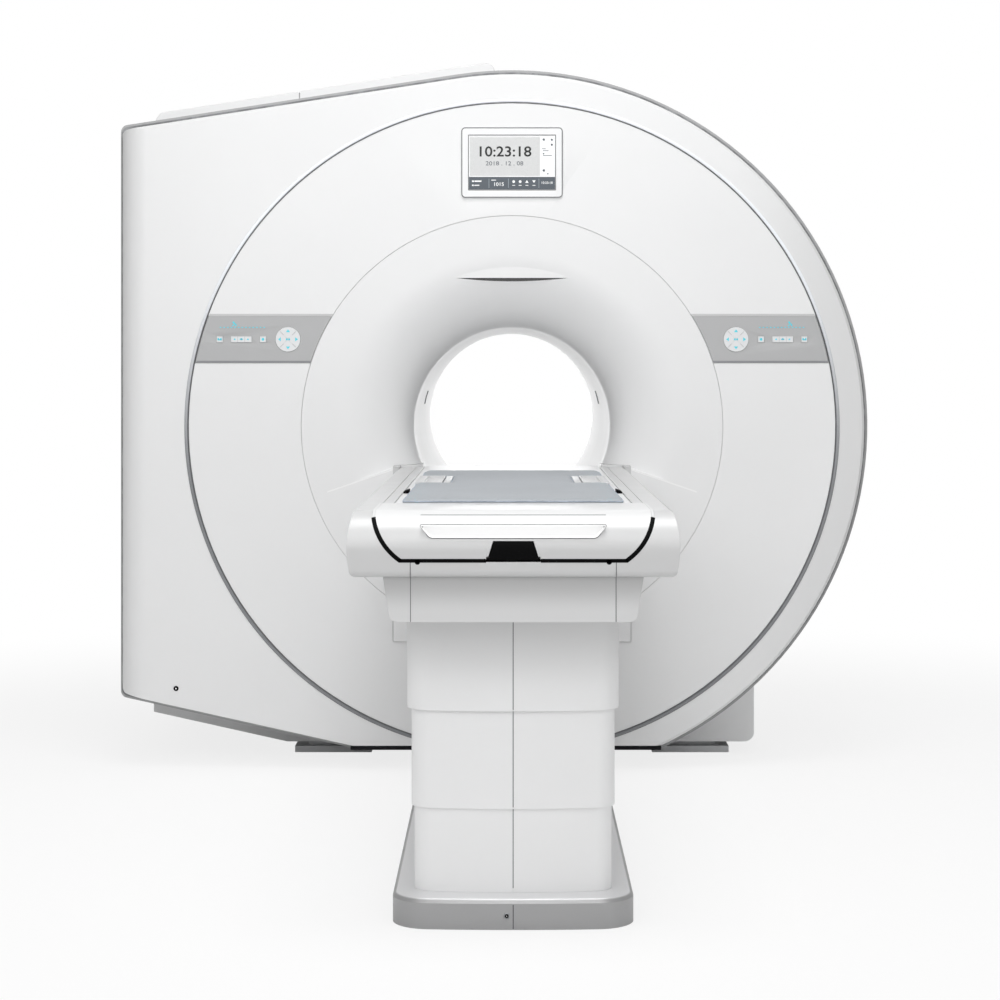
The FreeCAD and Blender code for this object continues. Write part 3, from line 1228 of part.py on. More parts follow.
def release_latch():
    """Black latch that frees the cradle for pulling by hand, with two lugs on the pin."""
    plate = latch_wedge(0, COUCH_FOOT_Y - 10, COUCH_FOOT_Y + LATCH_THICK).common(couch_body(0))
    for x in (-LATCH_LUG_X, LATCH_LUG_X):
        plate = plate.fuse(box(x - LATCH_LUG_W / 2, x + LATCH_LUG_W / 2, COUCH_FOOT_Y + LATCH_THICK / 2,
                               LATCH_PIN_Y + LATCH_LUG_REACH, LATCH_PIN_Z - LATCH_LUG_REACH,
                               LATCH_PIN_Z + LATCH_PIN_R + LATCH_GAP))
    half = LATCH_LUG_X + LATCH_LUG_W
    radius = LATCH_PIN_R + LATCH_BORE_PLAY
    return plate.cut(Part.makeCylinder(radius, 2 * half, V(-half, LATCH_PIN_Y, LATCH_PIN_Z), RIGHT))


def couch_carrier():
    """Tapered beam under the couch, open at the top, with the front seams."""
    outer = carrier_form(0, CARRIER_FOOT_Y, CARRIER_HEAD_Y)
    inner = carrier_form(COUCH_WALL, CARRIER_FOOT_Y + COUCH_WALL, CARRIER_HEAD_Y - COUCH_WALL)
    return outer.cut(inner).cut(front_grooves(CARRIER_FOOT_Y, CARRIER_BOTTOM_Z, COUCH_BOTTOM_Z))


def carrier_form(inset, y0, y1):
    """Solid form of the carrier, or the space inside it."""
    low = CARRIER_BOTTOM_Z + inset
    top_w, low_w = CARRIER_TOP_HALF_W - inset, CARRIER_LOW_HALF_W - inset
    form = polygon_y([(-top_w, COUCH_BOTTOM_Z), (top_w, COUCH_BOTTOM_Z), (low_w, low), (-low_w, low)], y0, y1)
    lower = [edge for edge in along_y_edges(form, SHELL_R) if edge.Vertexes[0].Point.z < low + 1]
    return form.makeFillet(CARRIER_CORNER_R - inset, lower)


def rail_covers():
    """Angle strips between the cradle and the housing's rims, standing on the tub's floor."""
    x0, x1 = CRADLE_HALF_W + CRADLE_GAP, COUCH_OPENING_HALF_W - SEAM
    top, floor = COUCH_TOP_Z, COUCH_BOTTOM_Z + COUCH_WALL
    strip = polygon_y([(x0, floor), (x0 + RAIL_COVER_WEB, floor), (x0 + RAIL_COVER_WEB, top - RAIL_COVER_WEB),
                       (x1, top - RAIL_COVER_WEB), (x1, top), (x0, top)],
                      COUCH_SEAM_Y + SEAM, COUCH_HEAD_Y - COUCH_WALL - SEAM)
    return pair(strip)


def guide_rails():
    """Two straight rails on the tub's floor, on which the cradle's carriage rides."""
    rail = box(GUIDE_X - GUIDE_W / 2, GUIDE_X + GUIDE_W / 2, COUCH_SEAM_Y + 4 * SEAM, SLIDE_BLOCK_Y - SEAM,
               COUCH_BOTTOM_Z + COUCH_WALL, GUIDE_TOP_Z)
    return pair(rail)


def slide_blocks():
    """Low-friction blocks at the head end of the tub, just under the cradle."""
    half = SLIDE_BLOCK_HALF_W
    return pair(box(GUIDE_X - half, GUIDE_X + half, SLIDE_BLOCK_Y, SLIDE_BLOCK_Y + SLIDE_BLOCK_L,
                    COUCH_BOTTOM_Z + COUCH_WALL, CRADLE_LOW_Z - SLIDE_GAP))


def drive_rack():
    """Rack along the tub's floor, on which the carriage's drive runs."""
    floor = COUCH_BOTTOM_Z + COUCH_WALL
    return box(-RACK_HALF_W, RACK_HALF_W, COUCH_SEAM_Y + 4 * SEAM, SLIDE_BLOCK_Y - SEAM,
               floor, floor + RACK_HEIGHT)


# ------------------------------------------------------------------ table: cradle
def cradle_board():
    """Stiff board of the cradle: bevelled edges, a shallow V underneath, rounded head corners."""
    top, low = CRADLE_TOP_Z, CRADLE_LOW_Z
    edge = top - CRADLE_EDGE
    board = polygon_y([
        (-CRADLE_HALF_W, top), (CRADLE_HALF_W, top), (CRADLE_HALF_W, edge),
        (CRADLE_HALF_W - CRADLE_EDGE, edge - CRADLE_EDGE), (CRADLE_FLAT_HALF_W, low),
        (-CRADLE_FLAT_HALF_W, low), (-CRADLE_HALF_W + CRADLE_EDGE, edge - CRADLE_EDGE), (-CRADLE_HALF_W, edge),
    ], CRADLE_FOOT_Y, CRADLE_HEAD_Y)
    half = CRADLE_HALF_W + 1
    plan = box(-half, half, CRADLE_FOOT_Y - 1, CRADLE_HEAD_Y, low - 1, top + 1)
    corners = [e for e in plan.Edges if e.Vertexes[0].Point.y > CRADLE_HEAD_Y - 1
               and abs(e.Vertexes[0].Point.z - e.Vertexes[-1].Point.z) > 1]
    return board.common(plan.makeFillet(CRADLE_CORNER_R, corners))


def cradle_carriage():
    """Drive carriage under the cradle's foot end, riding just above the guide rails."""
    y0 = CRADLE_FOOT_Y + CARRIAGE_SETBACK
    return box(-CARRIAGE_HALF_W, CARRIAGE_HALF_W, y0, y0 + CARRIAGE_LENGTH,
               GUIDE_TOP_Z + SLIDE_GAP, CRADLE_LOW_Z)


def mattress():
    """Patient mattress: crowned, drawn in at its edge seams, with a cut-out on each side for a coil socket."""
    y0, y1 = CRADLE_FOOT_Y + MAT_FOOT_GAP, MAT_HEAD_Y
    low, top = CRADLE_TOP_Z, CRADLE_TOP_Z + MAT_THICK
    seam_w, seam_z = MAT_HALF_W - MAT_DRAWN, top - MAT_CROWN
    mid_z = (low + seam_z) / 2

    def at(x, z):
        return V(x, y0, z)

    wire = outline(
        at(-seam_w, low),
        at(seam_w, low),
        (at(MAT_HALF_W, mid_z), at(seam_w, seam_z)),
        (at(0, top), at(-seam_w, seam_z)),
        (at(-MAT_HALF_W, mid_z), at(-seam_w, low)),
    )
    mat = prism(wire, V(0, y1 - y0, 0))
    socket = box(MAT_HALF_W - SOCKET_DEPTH, MAT_HALF_W + 1, SOCKET_FOOT_Y, SOCKET_HEAD_Y, low - 1, top + 1)
    return mat.cut(socket).cut(mirrored(socket))


def coil_sockets():
    """Socket strips for the receive coils in the mattress's cut-outs, each with a recess."""
    x0, x1 = MAT_HALF_W - SOCKET_DEPTH + SOCKET_GAP, MAT_HALF_W
    y0, y1 = SOCKET_FOOT_Y + SOCKET_GAP, SOCKET_HEAD_Y - SOCKET_GAP
    low = CRADLE_TOP_Z
    strip = box(x0, x1, y0, y1, low, low + SOCKET_HEIGHT)
    well = box(x0 + SOCKET_RIM, x0 + SOCKET_RIM + SOCKET_WELL_W, y0 + SOCKET_RIM, y1 - SOCKET_RIM,
               low + SOCKET_RIM, low + SOCKET_HEIGHT + 1)
    return pair(strip.cut(well))


def strap_clips():
    """Black clips for the patient straps at the mattress's edges."""
    x0, x1 = MAT_HALF_W + SLIDE_GAP, CRADLE_HALF_W - 1
    clip = polygon_y([(x0, CRADLE_TOP_Z), (x1, CRADLE_TOP_Z), (x1, CRADLE_TOP_Z + CLIP_HEIGHT / 2),
                      (x0, CRADLE_TOP_Z + CLIP_HEIGHT)], CLIP_Y, CLIP_Y + CLIP_LENGTH)
    return pair(clip)


# ------------------------------------------------------------------ build
def switch_boxes():
    """The trays behind both panels."""
    return pair(switch_box())


def keys():
    """The right-hand panel's keys, by name."""
    return {
        "pad_key": pad_key(),
        "key_inner": row_key(KEY_INNER_X, KEY_W),
        "key_bar": row_key(KEY_BAR_X, KEY_BAR_W),
        "key_outer": row_key(KEY_OUTER_X, KEY_W),
    }


BUILDERS = (
    front_cover, cover_gasket, side_shell, rear_cover, ring_trim, annulus_cover, funnel_cover,
    laser_window, docking_bay, bore_liner, bore_ports, bore_bridge, bridge_strips, roof_covers, gantry_skirt,
    switch_boxes, display_bezel, display_screen, cover_locks,
    magnet_vessel, gradient_coil, body_coil, magnet_feet, service_turret,
    base_cover, base_plate, column_lower, column_middle, column_upper,
    mast_lower, mast_middle, mast_upper,
    couch_carrier, couch_housing, rail_covers, guide_rails, slide_blocks, drive_rack,
    foot_fascia, latch_pin, release_latch,
    cradle_board, cradle_carriage, mattress, coil_sockets, strap_clips,
)


def build():
    """Every piece of the machine by the name of its node."""
    pieces = {builder.__name__: builder() for builder in BUILDERS}
    handed = dict(keys(), control_panel=control_panel())
    for name, shape in handed.items():
        pieces["right_" + name] = shape
        pieces["left_" + name] = mirrored(shape)
    return pieces


def main():
    """Write every node."""
    os.makedirs("parts", exist_ok=True)
    for node, shape in build().items():
        save(shape, node)


if __name__ == "__main__":
    main()
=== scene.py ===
"""Looks of a whole-body MRI scanner: moulded covers, panels, display, and a table on a lifting column."""

import json
import logging
import math
from dataclasses import dataclass
from enum import Enum
from typing import Iterable, Optional, Sequence, Union

import bmesh
import bpy
from mathutils import Matrix, Vector

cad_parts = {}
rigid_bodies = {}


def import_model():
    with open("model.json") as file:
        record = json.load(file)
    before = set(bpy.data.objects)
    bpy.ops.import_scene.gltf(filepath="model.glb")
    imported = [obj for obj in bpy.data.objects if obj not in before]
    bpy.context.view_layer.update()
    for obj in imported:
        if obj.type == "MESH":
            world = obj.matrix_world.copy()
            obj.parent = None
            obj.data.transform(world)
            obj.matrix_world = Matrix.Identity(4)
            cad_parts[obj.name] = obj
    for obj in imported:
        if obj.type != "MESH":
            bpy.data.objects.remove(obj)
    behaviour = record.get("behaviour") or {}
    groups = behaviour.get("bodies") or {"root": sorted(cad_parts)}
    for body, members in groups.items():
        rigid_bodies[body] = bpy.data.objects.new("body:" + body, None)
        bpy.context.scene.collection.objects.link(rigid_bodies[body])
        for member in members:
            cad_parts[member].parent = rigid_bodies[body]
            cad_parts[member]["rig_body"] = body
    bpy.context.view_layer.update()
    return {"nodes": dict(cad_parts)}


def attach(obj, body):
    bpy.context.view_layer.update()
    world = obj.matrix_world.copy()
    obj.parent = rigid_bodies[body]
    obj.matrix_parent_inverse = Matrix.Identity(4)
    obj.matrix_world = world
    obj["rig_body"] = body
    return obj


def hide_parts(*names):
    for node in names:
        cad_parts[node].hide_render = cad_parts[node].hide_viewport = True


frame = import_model()

log = logging.getLogger("scanner")

Colour = tuple[float, float, float]
Point = tuple[float, float, float]
Spot = tuple[float, float]
Mesh = bmesh.types.BMesh
Piece = bpy.types.Object
Socket = bpy.types.NodeSocket
Value = Union["Signal", float]

BORE_AXIS = Vector((0.0, 0.0, 1.03))
FLAT_TURN = math.radians(35)
BEAD_TURN = math.radians(50)
SOFT_TURN = math.radians(60)
FOOT_Y = -2.915
DIGIT_SHARE = 0.7
SIDES = (-1, 1)


def linear(colour: Colour) -> tuple[float, float, float, float]:
    """Turn a display colour into the renderer's linear one, with an alpha of 1.

    Args:
        colour: Red, green and blue from 0 to 1, as a display shows them.

    Returns:
        The linear colour and an alpha of 1.
    """
    def channel(value: float) -> float:
        """Turn one channel."""
        return value / 12.92 if value <= 0.04045 else ((value + 0.055) / 1.055) ** 2.4

    return (*map(channel, colour), 1.0)


def shade(colour: Colour, factor: float) -> Colour:
    """Make a display colour darker or lighter by a factor."""
    return tuple(min(1.0, value * factor) for value in colour)


# ---------------------------------------------------------------- shader maths
class Signal:
    """A shader socket that can be used in Python expressions."""

    def __init__(self, graph: "Graph", socket: Socket) -> None:
        """Wrap one output socket of a graph."""
        self.graph = graph
        self.socket = socket

    def __add__(self, other: Value) -> "Signal":
        """Sum with a signal or a number."""
        return self.graph.math("ADD", self, other)

    def __mul__(self, other: Value) -> "Signal":
        """Product with a signal or a number."""
        return self.graph.math("MULTIPLY", self, other)

    def __rsub__(self, other: float) -> "Signal":
        """A number less this signal."""
        return self.graph.math("SUBTRACT", other, self)

    def __pow__(self, power: float) -> "Signal":
        """This signal to a power."""
        return self.graph.math("POWER", self, power)

    def above(self, level: float) -> "Signal":
        """1 where the signal is over a level, else 0."""
        return self.graph.math("GREATER_THAN", self, level)

    def below(self, level: float) -> "Signal":
        """1 where the signal is under a level, else 0."""
        return self.graph.math("LESS_THAN", self, level)

    def ramp(self, low: float, high: float) -> "Signal":
        """Rise smoothly from 0 at low to 1 at high.

        Args:
            low: Where the rise starts.
            high: Where it ends.

        Returns:
            The rise as a signal.
        """
        settings = {"interpolation_type": "SMOOTHSTEP"}
        node = self.graph.node("ShaderNodeMapRange", settings, {0: self, 1: low, 2: high, 3: 0.0, 4: 1.0})
        return Signal(self.graph, node.outputs[0])

    def wave(self, length: float) -> "Signal":
        """Sine of the signal, with one turn to each length."""
        return self.graph.math("SINE", self * (math.tau / length))


class Graph:
    """The nodes of one material."""

    def __init__(self, name: str) -> None:
        """Make an empty material."""
        self.material = bpy.data.materials.new(name)
        self.material.use_nodes = True
        self.tree = self.material.node_tree
        self.tree.nodes.clear()

    def node(self, kind: str, settings: Optional[dict] = None, values: Optional[dict] = None) -> bpy.types.Node:
        """Add a node.

        Args:
            kind: The node's type.
            settings: Its properties, set first.
            values: Its inputs by name or number; a signal or a socket is linked, anything else is set.

        Returns:
            The node.
        """
        made = self.tree.nodes.new(kind)
        for name, value in (settings or {}).items():
            setattr(made, name, value)
        for name, value in (values or {}).items():
            value = value.socket if isinstance(value, Signal) else value
            if isinstance(value, Socket):
                self.tree.links.new(value, made.inputs[name])
            else:
                made.inputs[name].default_value = value
        return made

    def math(self, operation: str, *values: Value) -> Signal:
        """Add a Math node."""
        node = self.node("ShaderNodeMath", {"operation": operation}, dict(enumerate(values)))
        return Signal(self, node.outputs[0])

    def place(self, scale: Point = (1.0, 1.0, 1.0)) -> Socket:
        """Give the object's own coordinates, scaled."""
        spot = self.node("ShaderNodeTexCoord").outputs["Object"]
        return self.node("ShaderNodeMapping", None, {"Vector": spot, "Scale": scale}).outputs[0]

    def axes(self) -> tuple[Signal, ...]:
        """Give X, Y and Z of the object's own coordinates, in metres."""
        parts = self.node("ShaderNodeSeparateXYZ", None, {0: self.place()})
        return tuple(Signal(self, output) for output in parts.outputs)

    def noise(self, scale: float, detail: float = 2.0, stretch: Point = (1.0, 1.0, 1.0)) -> Signal:
        """Give noise from 0 to 1, with scale features to the metre."""
        values = {"Vector": self.place(stretch), "Scale": scale, "Detail": detail, "Roughness": 0.55}
        return Signal(self, self.node("ShaderNodeTexNoise", {"noise_dimensions": "3D"}, values).outputs[0])

    def cells(self, scale: float, output: str) -> Signal:
        """Give the distance or colour of a cell pattern with scale cells to the metre."""
        made = self.node("ShaderNodeTexVoronoi", None, {"Vector": self.place(), "Scale": scale})
        return Signal(self, made.outputs[output])

    def blend(self, share: Value, first: object, second: object) -> Socket:
        """Mix two colours, each a display colour or a socket.

        Args:
            share: How much of the second colour there is, from 0 to 1.
            first: The colour at 0.
            second: The colour at 1.

        Returns:
            The mixed colour's socket.
        """
        ends = [linear(colour) if isinstance(colour, tuple) else colour for colour in (first, second)]
        made = self.node("ShaderNodeMix", {"data_type": "RGBA"}, {0: share, 6: ends[0], 7: ends[1]})
        return made.outputs[2]

    def bump(self, height: Signal, depth: float, strength: float = 1.0) -> Socket:
        """Turn a height into a normal; depth is the real height of 1, in metres."""
        values = {"Height": height, "Distance": depth, "Strength": strength}
        return self.node("ShaderNodeBump", None, values).outputs[0]

    def surface(self, values: dict) -> bpy.types.Material:
        """Finish the material with a Principled shader whose inputs are given by name.

        Args:
            values: The shader's inputs; a signal or a socket is linked, anything else is set.

        Returns:
            The finished material.
        """
        shader = self.node("ShaderNodeBsdfPrincipled", None, values)
        self.node("ShaderNodeOutputMaterial", None, {0: shader.outputs[0]})
        return self.material


# ---------------------------------------------------------------- finishes
@dataclass(frozen=True)
class PaintedShading:
    """Painted light and shade: a tone that changes smoothly along one axis, plain at start and share times as
    light at end.
    """

    axis: int
    start: float
    end: float
    share: float

    def over(self, graph: Graph, tint: Socket, colour: Colour) -> Socket:
        """Lay the painted light or shade over a tint."""
        reach = graph.axes()[self.axis].ramp(min(self.start, self.end), max(self.start, self.end))
        return graph.blend(reach if self.start < self.end else 1 - reach, tint, shade(colour, self.share))


@dataclass(frozen=True)
class Finish:
    """What every finish has: a name, its display colour and its roughness."""

    name: str
    colour: Colour
    roughness: float = 0.4

    def make(self) -> bpy.types.Material:
        """Build the material."""
        graph = Graph(self.name)
        return graph.surface(self.inputs(graph))

    def inputs(self, graph: Graph) -> dict:
        """Give the shader's inputs by name.

        Args:
            graph: The material's nodes.

        Returns:
            The inputs: signals, sockets or plain values.
        """
        raise NotImplementedError


@dataclass(frozen=True)
class MouldedPlastic(Finish):
    """Painted or moulded plastic: a fine spray texture, faint cloudy tone and slightly patchy gloss."""

    gloss: float = 0.18
    grain: float = 900.0
    depth: float = 0.00002
    cloud: float = 0.012
    smear: float = 0.10
    painted_shading: Optional[PaintedShading] = None

    def inputs(self, graph: Graph) -> dict:
        """Give the shader's inputs by name.

        Args:
            graph: The material's nodes.

        Returns:
            The inputs: signals, sockets or plain values.
        """
        clouds = graph.noise(1.7, 3.0)
        grains = graph.noise(self.grain)
        smears = graph.noise(9.0, 4.0, (1.0, 1.0, 0.35))
        tone = graph.blend(clouds, shade(self.colour, 1 - self.cloud), shade(self.colour, 1 + self.cloud))
        tint = graph.blend(grains.ramp(0.35, 0.65) * 0.25, tone, shade(self.colour, 0.985))
        # painted light and shade: the tone changes along one axis where the finish has it
        if self.painted_shading:
            tint = self.painted_shading.over(graph, tint, self.colour)
        return {
            "Base Color": tint,
            "Roughness": smears * self.smear + (self.roughness - self.smear / 2) + grains * 0.04,
            "Coat Weight": smears * 0.05 + self.gloss,
            "Coat Roughness": 0.22,
            "Normal": graph.bump(grains, self.depth),
        }


@dataclass(frozen=True)
class SprayedMetal(Finish):
    """Metallic paint: small bright flakes under a clear coat."""

    metal: float = 0.35
    flake: float = 0.16
    painted_shading: Optional[PaintedShading] = None

    def inputs(self, graph: Graph) -> dict:
        """Give the shader's inputs by name.

        Args:
            graph: The material's nodes.

        Returns:
            The inputs: signals, sockets or plain values.
        """
        flakes = graph.cells(1400.0, "Distance").ramp(0.15, 0.6)
        clouds = graph.noise(4.0, 3.0)
        tone = graph.blend(flakes * self.flake, self.colour, shade(self.colour, 1.16))
        tint = graph.blend(clouds * 0.2, tone, shade(self.colour, 0.95))
        # painted light and shade: the tone changes along one axis where the finish has it
        if self.painted_shading:
            tint = self.painted_shading.over(graph, tint, self.colour)
        return {
            "Base Color": tint,
            "Metallic": flakes * 0.1 + self.metal,
            "Roughness": clouds * 0.08 + self.roughness,
            "Coat Weight": 0.3,
            "Coat Roughness": 0.18,
            "Normal": graph.bump(flakes, 0.00001),
        }


@dataclass(frozen=True)
class BrushedMetal(Finish):
    """Bare metal with fine lines along one axis."""

    metal: float = 0.9
    lines: Point = (0.02, 1.0, 1.0)

    def inputs(self, graph: Graph) -> dict:
        """Give the shader's inputs by name.

        Args:
            graph: The material's nodes.

        Returns:
            The inputs: signals, sockets or plain values.
        """
        lines = graph.noise(1800.0, 3.0, self.lines)
        patches = graph.noise(14.0, 3.0)
        return {
            "Base Color": graph.blend(lines.ramp(0.3, 0.7), shade(self.colour, 0.93), shade(self.colour, 1.05)),
            "Metallic": self.metal,
            "Roughness": lines * 0.14 + patches * 0.08 + (self.roughness - 0.1),
            "Normal": graph.bump(lines, 0.00001),
        }


@dataclass(frozen=True)
class SoftSeal(Finish):
    """Rubber, cloth tape or matt plastic with a dusty bloom."""

    def inputs(self, graph: Graph) -> dict:
        """Give the shader's inputs by name.

        Args:
            graph: The material's nodes.

        Returns:
            The inputs: signals, sockets or plain values.
        """
        bloom = graph.noise(30.0, 4.0)
        pores = graph.noise(2200.0)
        return {
            "Base Color": graph.blend(bloom.ramp(0.35, 0.75) * 0.5, self.colour, shade(self.colour, 1.5)),
            "Roughness": bloom * 0.15 + (self.roughness - 0.05),
            "Specular IOR Level": 0.08,
            "Normal": graph.bump(pores, 0.00004),
        }


@dataclass(frozen=True)
class CastResin(Finish):
    """Cast resin of the coils: speckled filler and faint winding bands."""

    band: float = 1 / 90

    def inputs(self, graph: Graph) -> dict:
        """Give the shader's inputs by name.

        Args:
            graph: The material's nodes.

        Returns:
            The inputs: signals, sockets or plain values.
        """
        bands = graph.axes()[1].wave(self.band) * 0.5 + 0.5
        speckle = graph.noise(420.0, 3.0).ramp(0.45, 0.62)
        tone = graph.blend(speckle * 0.35, self.colour, shade(self.colour, 0.78))
        return {
            "Base Color": graph.blend(bands * 0.2, tone, shade(self.colour, 0.86)),
            "Roughness": speckle * 0.1 + self.roughness,
            "Normal": graph.bump(bands, 0.0004),
        }


@dataclass(frozen=True)
class DarkLens(Finish):
    """Dark glossy window with a faint inner tint."""

    def inputs(self, graph: Graph) -> dict:
        """Give the shader's inputs by name.

        Args:
            graph: The material's nodes.

        Returns:
            The inputs: signals, sockets or plain values.
        """
        dust = graph.noise(160.0, 4.0)
        return {
            "Base Color": graph.blend(dust.ramp(0.5, 0.8) * 0.4, self.colour, shade(self.colour, 2.2)),
            "Roughness": dust * 0.06 + self.roughness,
            "Coat Weight": 0.6,
            "Coat Roughness": 0.05,
        }


@dataclass(frozen=True)
class LitMark(Finish):
    """Translucent printed mark, lit from behind a little; the grip's lining uses it as painted light."""

    glow: float = 0.35

    def inputs(self, graph: Graph) -> dict:
        """Give the shader's inputs by name.

        Args:
            graph: The material's nodes.

        Returns:
            The inputs: signals, sockets or plain values.
        """
        spread = graph.noise(350.0)
        tint = graph.blend(spread, shade(self.colour, 0.95), shade(self.colour, 1.04))
        return {
            "Base Color": tint,
            "Roughness": spread * 0.1 + self.roughness,
            "Emission Color": tint,
            "Emission Strength": self.glow,
        }


@dataclass(frozen=True)
class CoatedCloth(Finish):
    """Mattress cover: a fine plain weave under a thin coating, speckled towards its edges and its foot end."""

    fleck: Colour = (0.38, 0.72, 0.78)
    worn: Colour = (0.632, 0.648, 0.664)
    half_width: float = 0.249
    foot_y: float = -2.592
    thread: float = 0.0011
    fleck_cells: float = 240.0

    def inputs(self, graph: Graph) -> dict:
        """Give the shader's inputs by name.

        Args:
            graph: The material's nodes.

        Returns:
            The inputs: signals, sockets or plain values.
        """
        across, along, _ = graph.axes()
        weave = across.wave(self.thread) * along.wave(self.thread) * 0.5 + 0.5
        clouds = graph.noise(3.0, 4.0)
        creases = graph.noise(7.0, 3.0, (1.0, 0.3, 1.0))
        foot = 1 - along.ramp(self.foot_y + 0.02, self.foot_y + 0.34)
        edge = graph.math("ABSOLUTE", across).ramp(self.half_width - 0.075, self.half_width - 0.008)
        dots = graph.cells(self.fleck_cells, "Distance").below(0.33)
        chance = graph.cells(self.fleck_cells, "Color")
        tone = graph.blend(clouds.ramp(0.3, 0.7), shade(self.colour, 0.975), shade(self.colour, 1.02))
        for share, colour in ((foot * 0.6, self.worn), (weave * 0.10, shade(self.colour, 0.8)),
                              (dots * chance.above(0.62) * edge * 0.75, self.fleck),
                              (dots * chance.below(0.34) * foot * 0.55, shade(self.worn, 0.72))):
            tone = graph.blend(share, tone, colour)
        return {
            "Base Color": tone,
            "Roughness": weave * 0.08 + clouds * 0.08 + self.roughness,
            "Sheen Weight": 0.15,
            "Normal": graph.bump(weave * 0.12 + creases, 0.0009, 0.7),
        }


@dataclass(frozen=True)
class FloorPaint(Finish):
    """Plain pale floor that turns into the backdrop, away from the object."""

    middle_y: float = -0.9
    near: float = 1.9
    far: float = 4.2
    share: float = 0.2

    def make(self) -> bpy.types.Material:
        """Build the material."""
        graph = Graph(self.name)
        across, along, _ = graph.axes()
        along = along + -self.middle_y
        away = (across * across + along * along) ** 0.5
        paint = graph.node("ShaderNodeBsdfDiffuse", None, {"Color": linear(self.colour)})
        white = graph.node("ShaderNodeEmission", None, {"Color": (1, 1, 1, 1), "Strength": 1.0})
        seen = Signal(graph, graph.node("ShaderNodeLightPath").outputs["Is Camera Ray"])
        part = seen * (away.ramp(self.near, self.far) * self.share + (1 - self.share))
        mixed = graph.node("ShaderNodeMixShader", None, {0: part, 1: paint.outputs[0], 2: white.outputs[0]})
        graph.node("ShaderNodeOutputMaterial", None, {0: mixed.outputs[0]})
        return graph.material


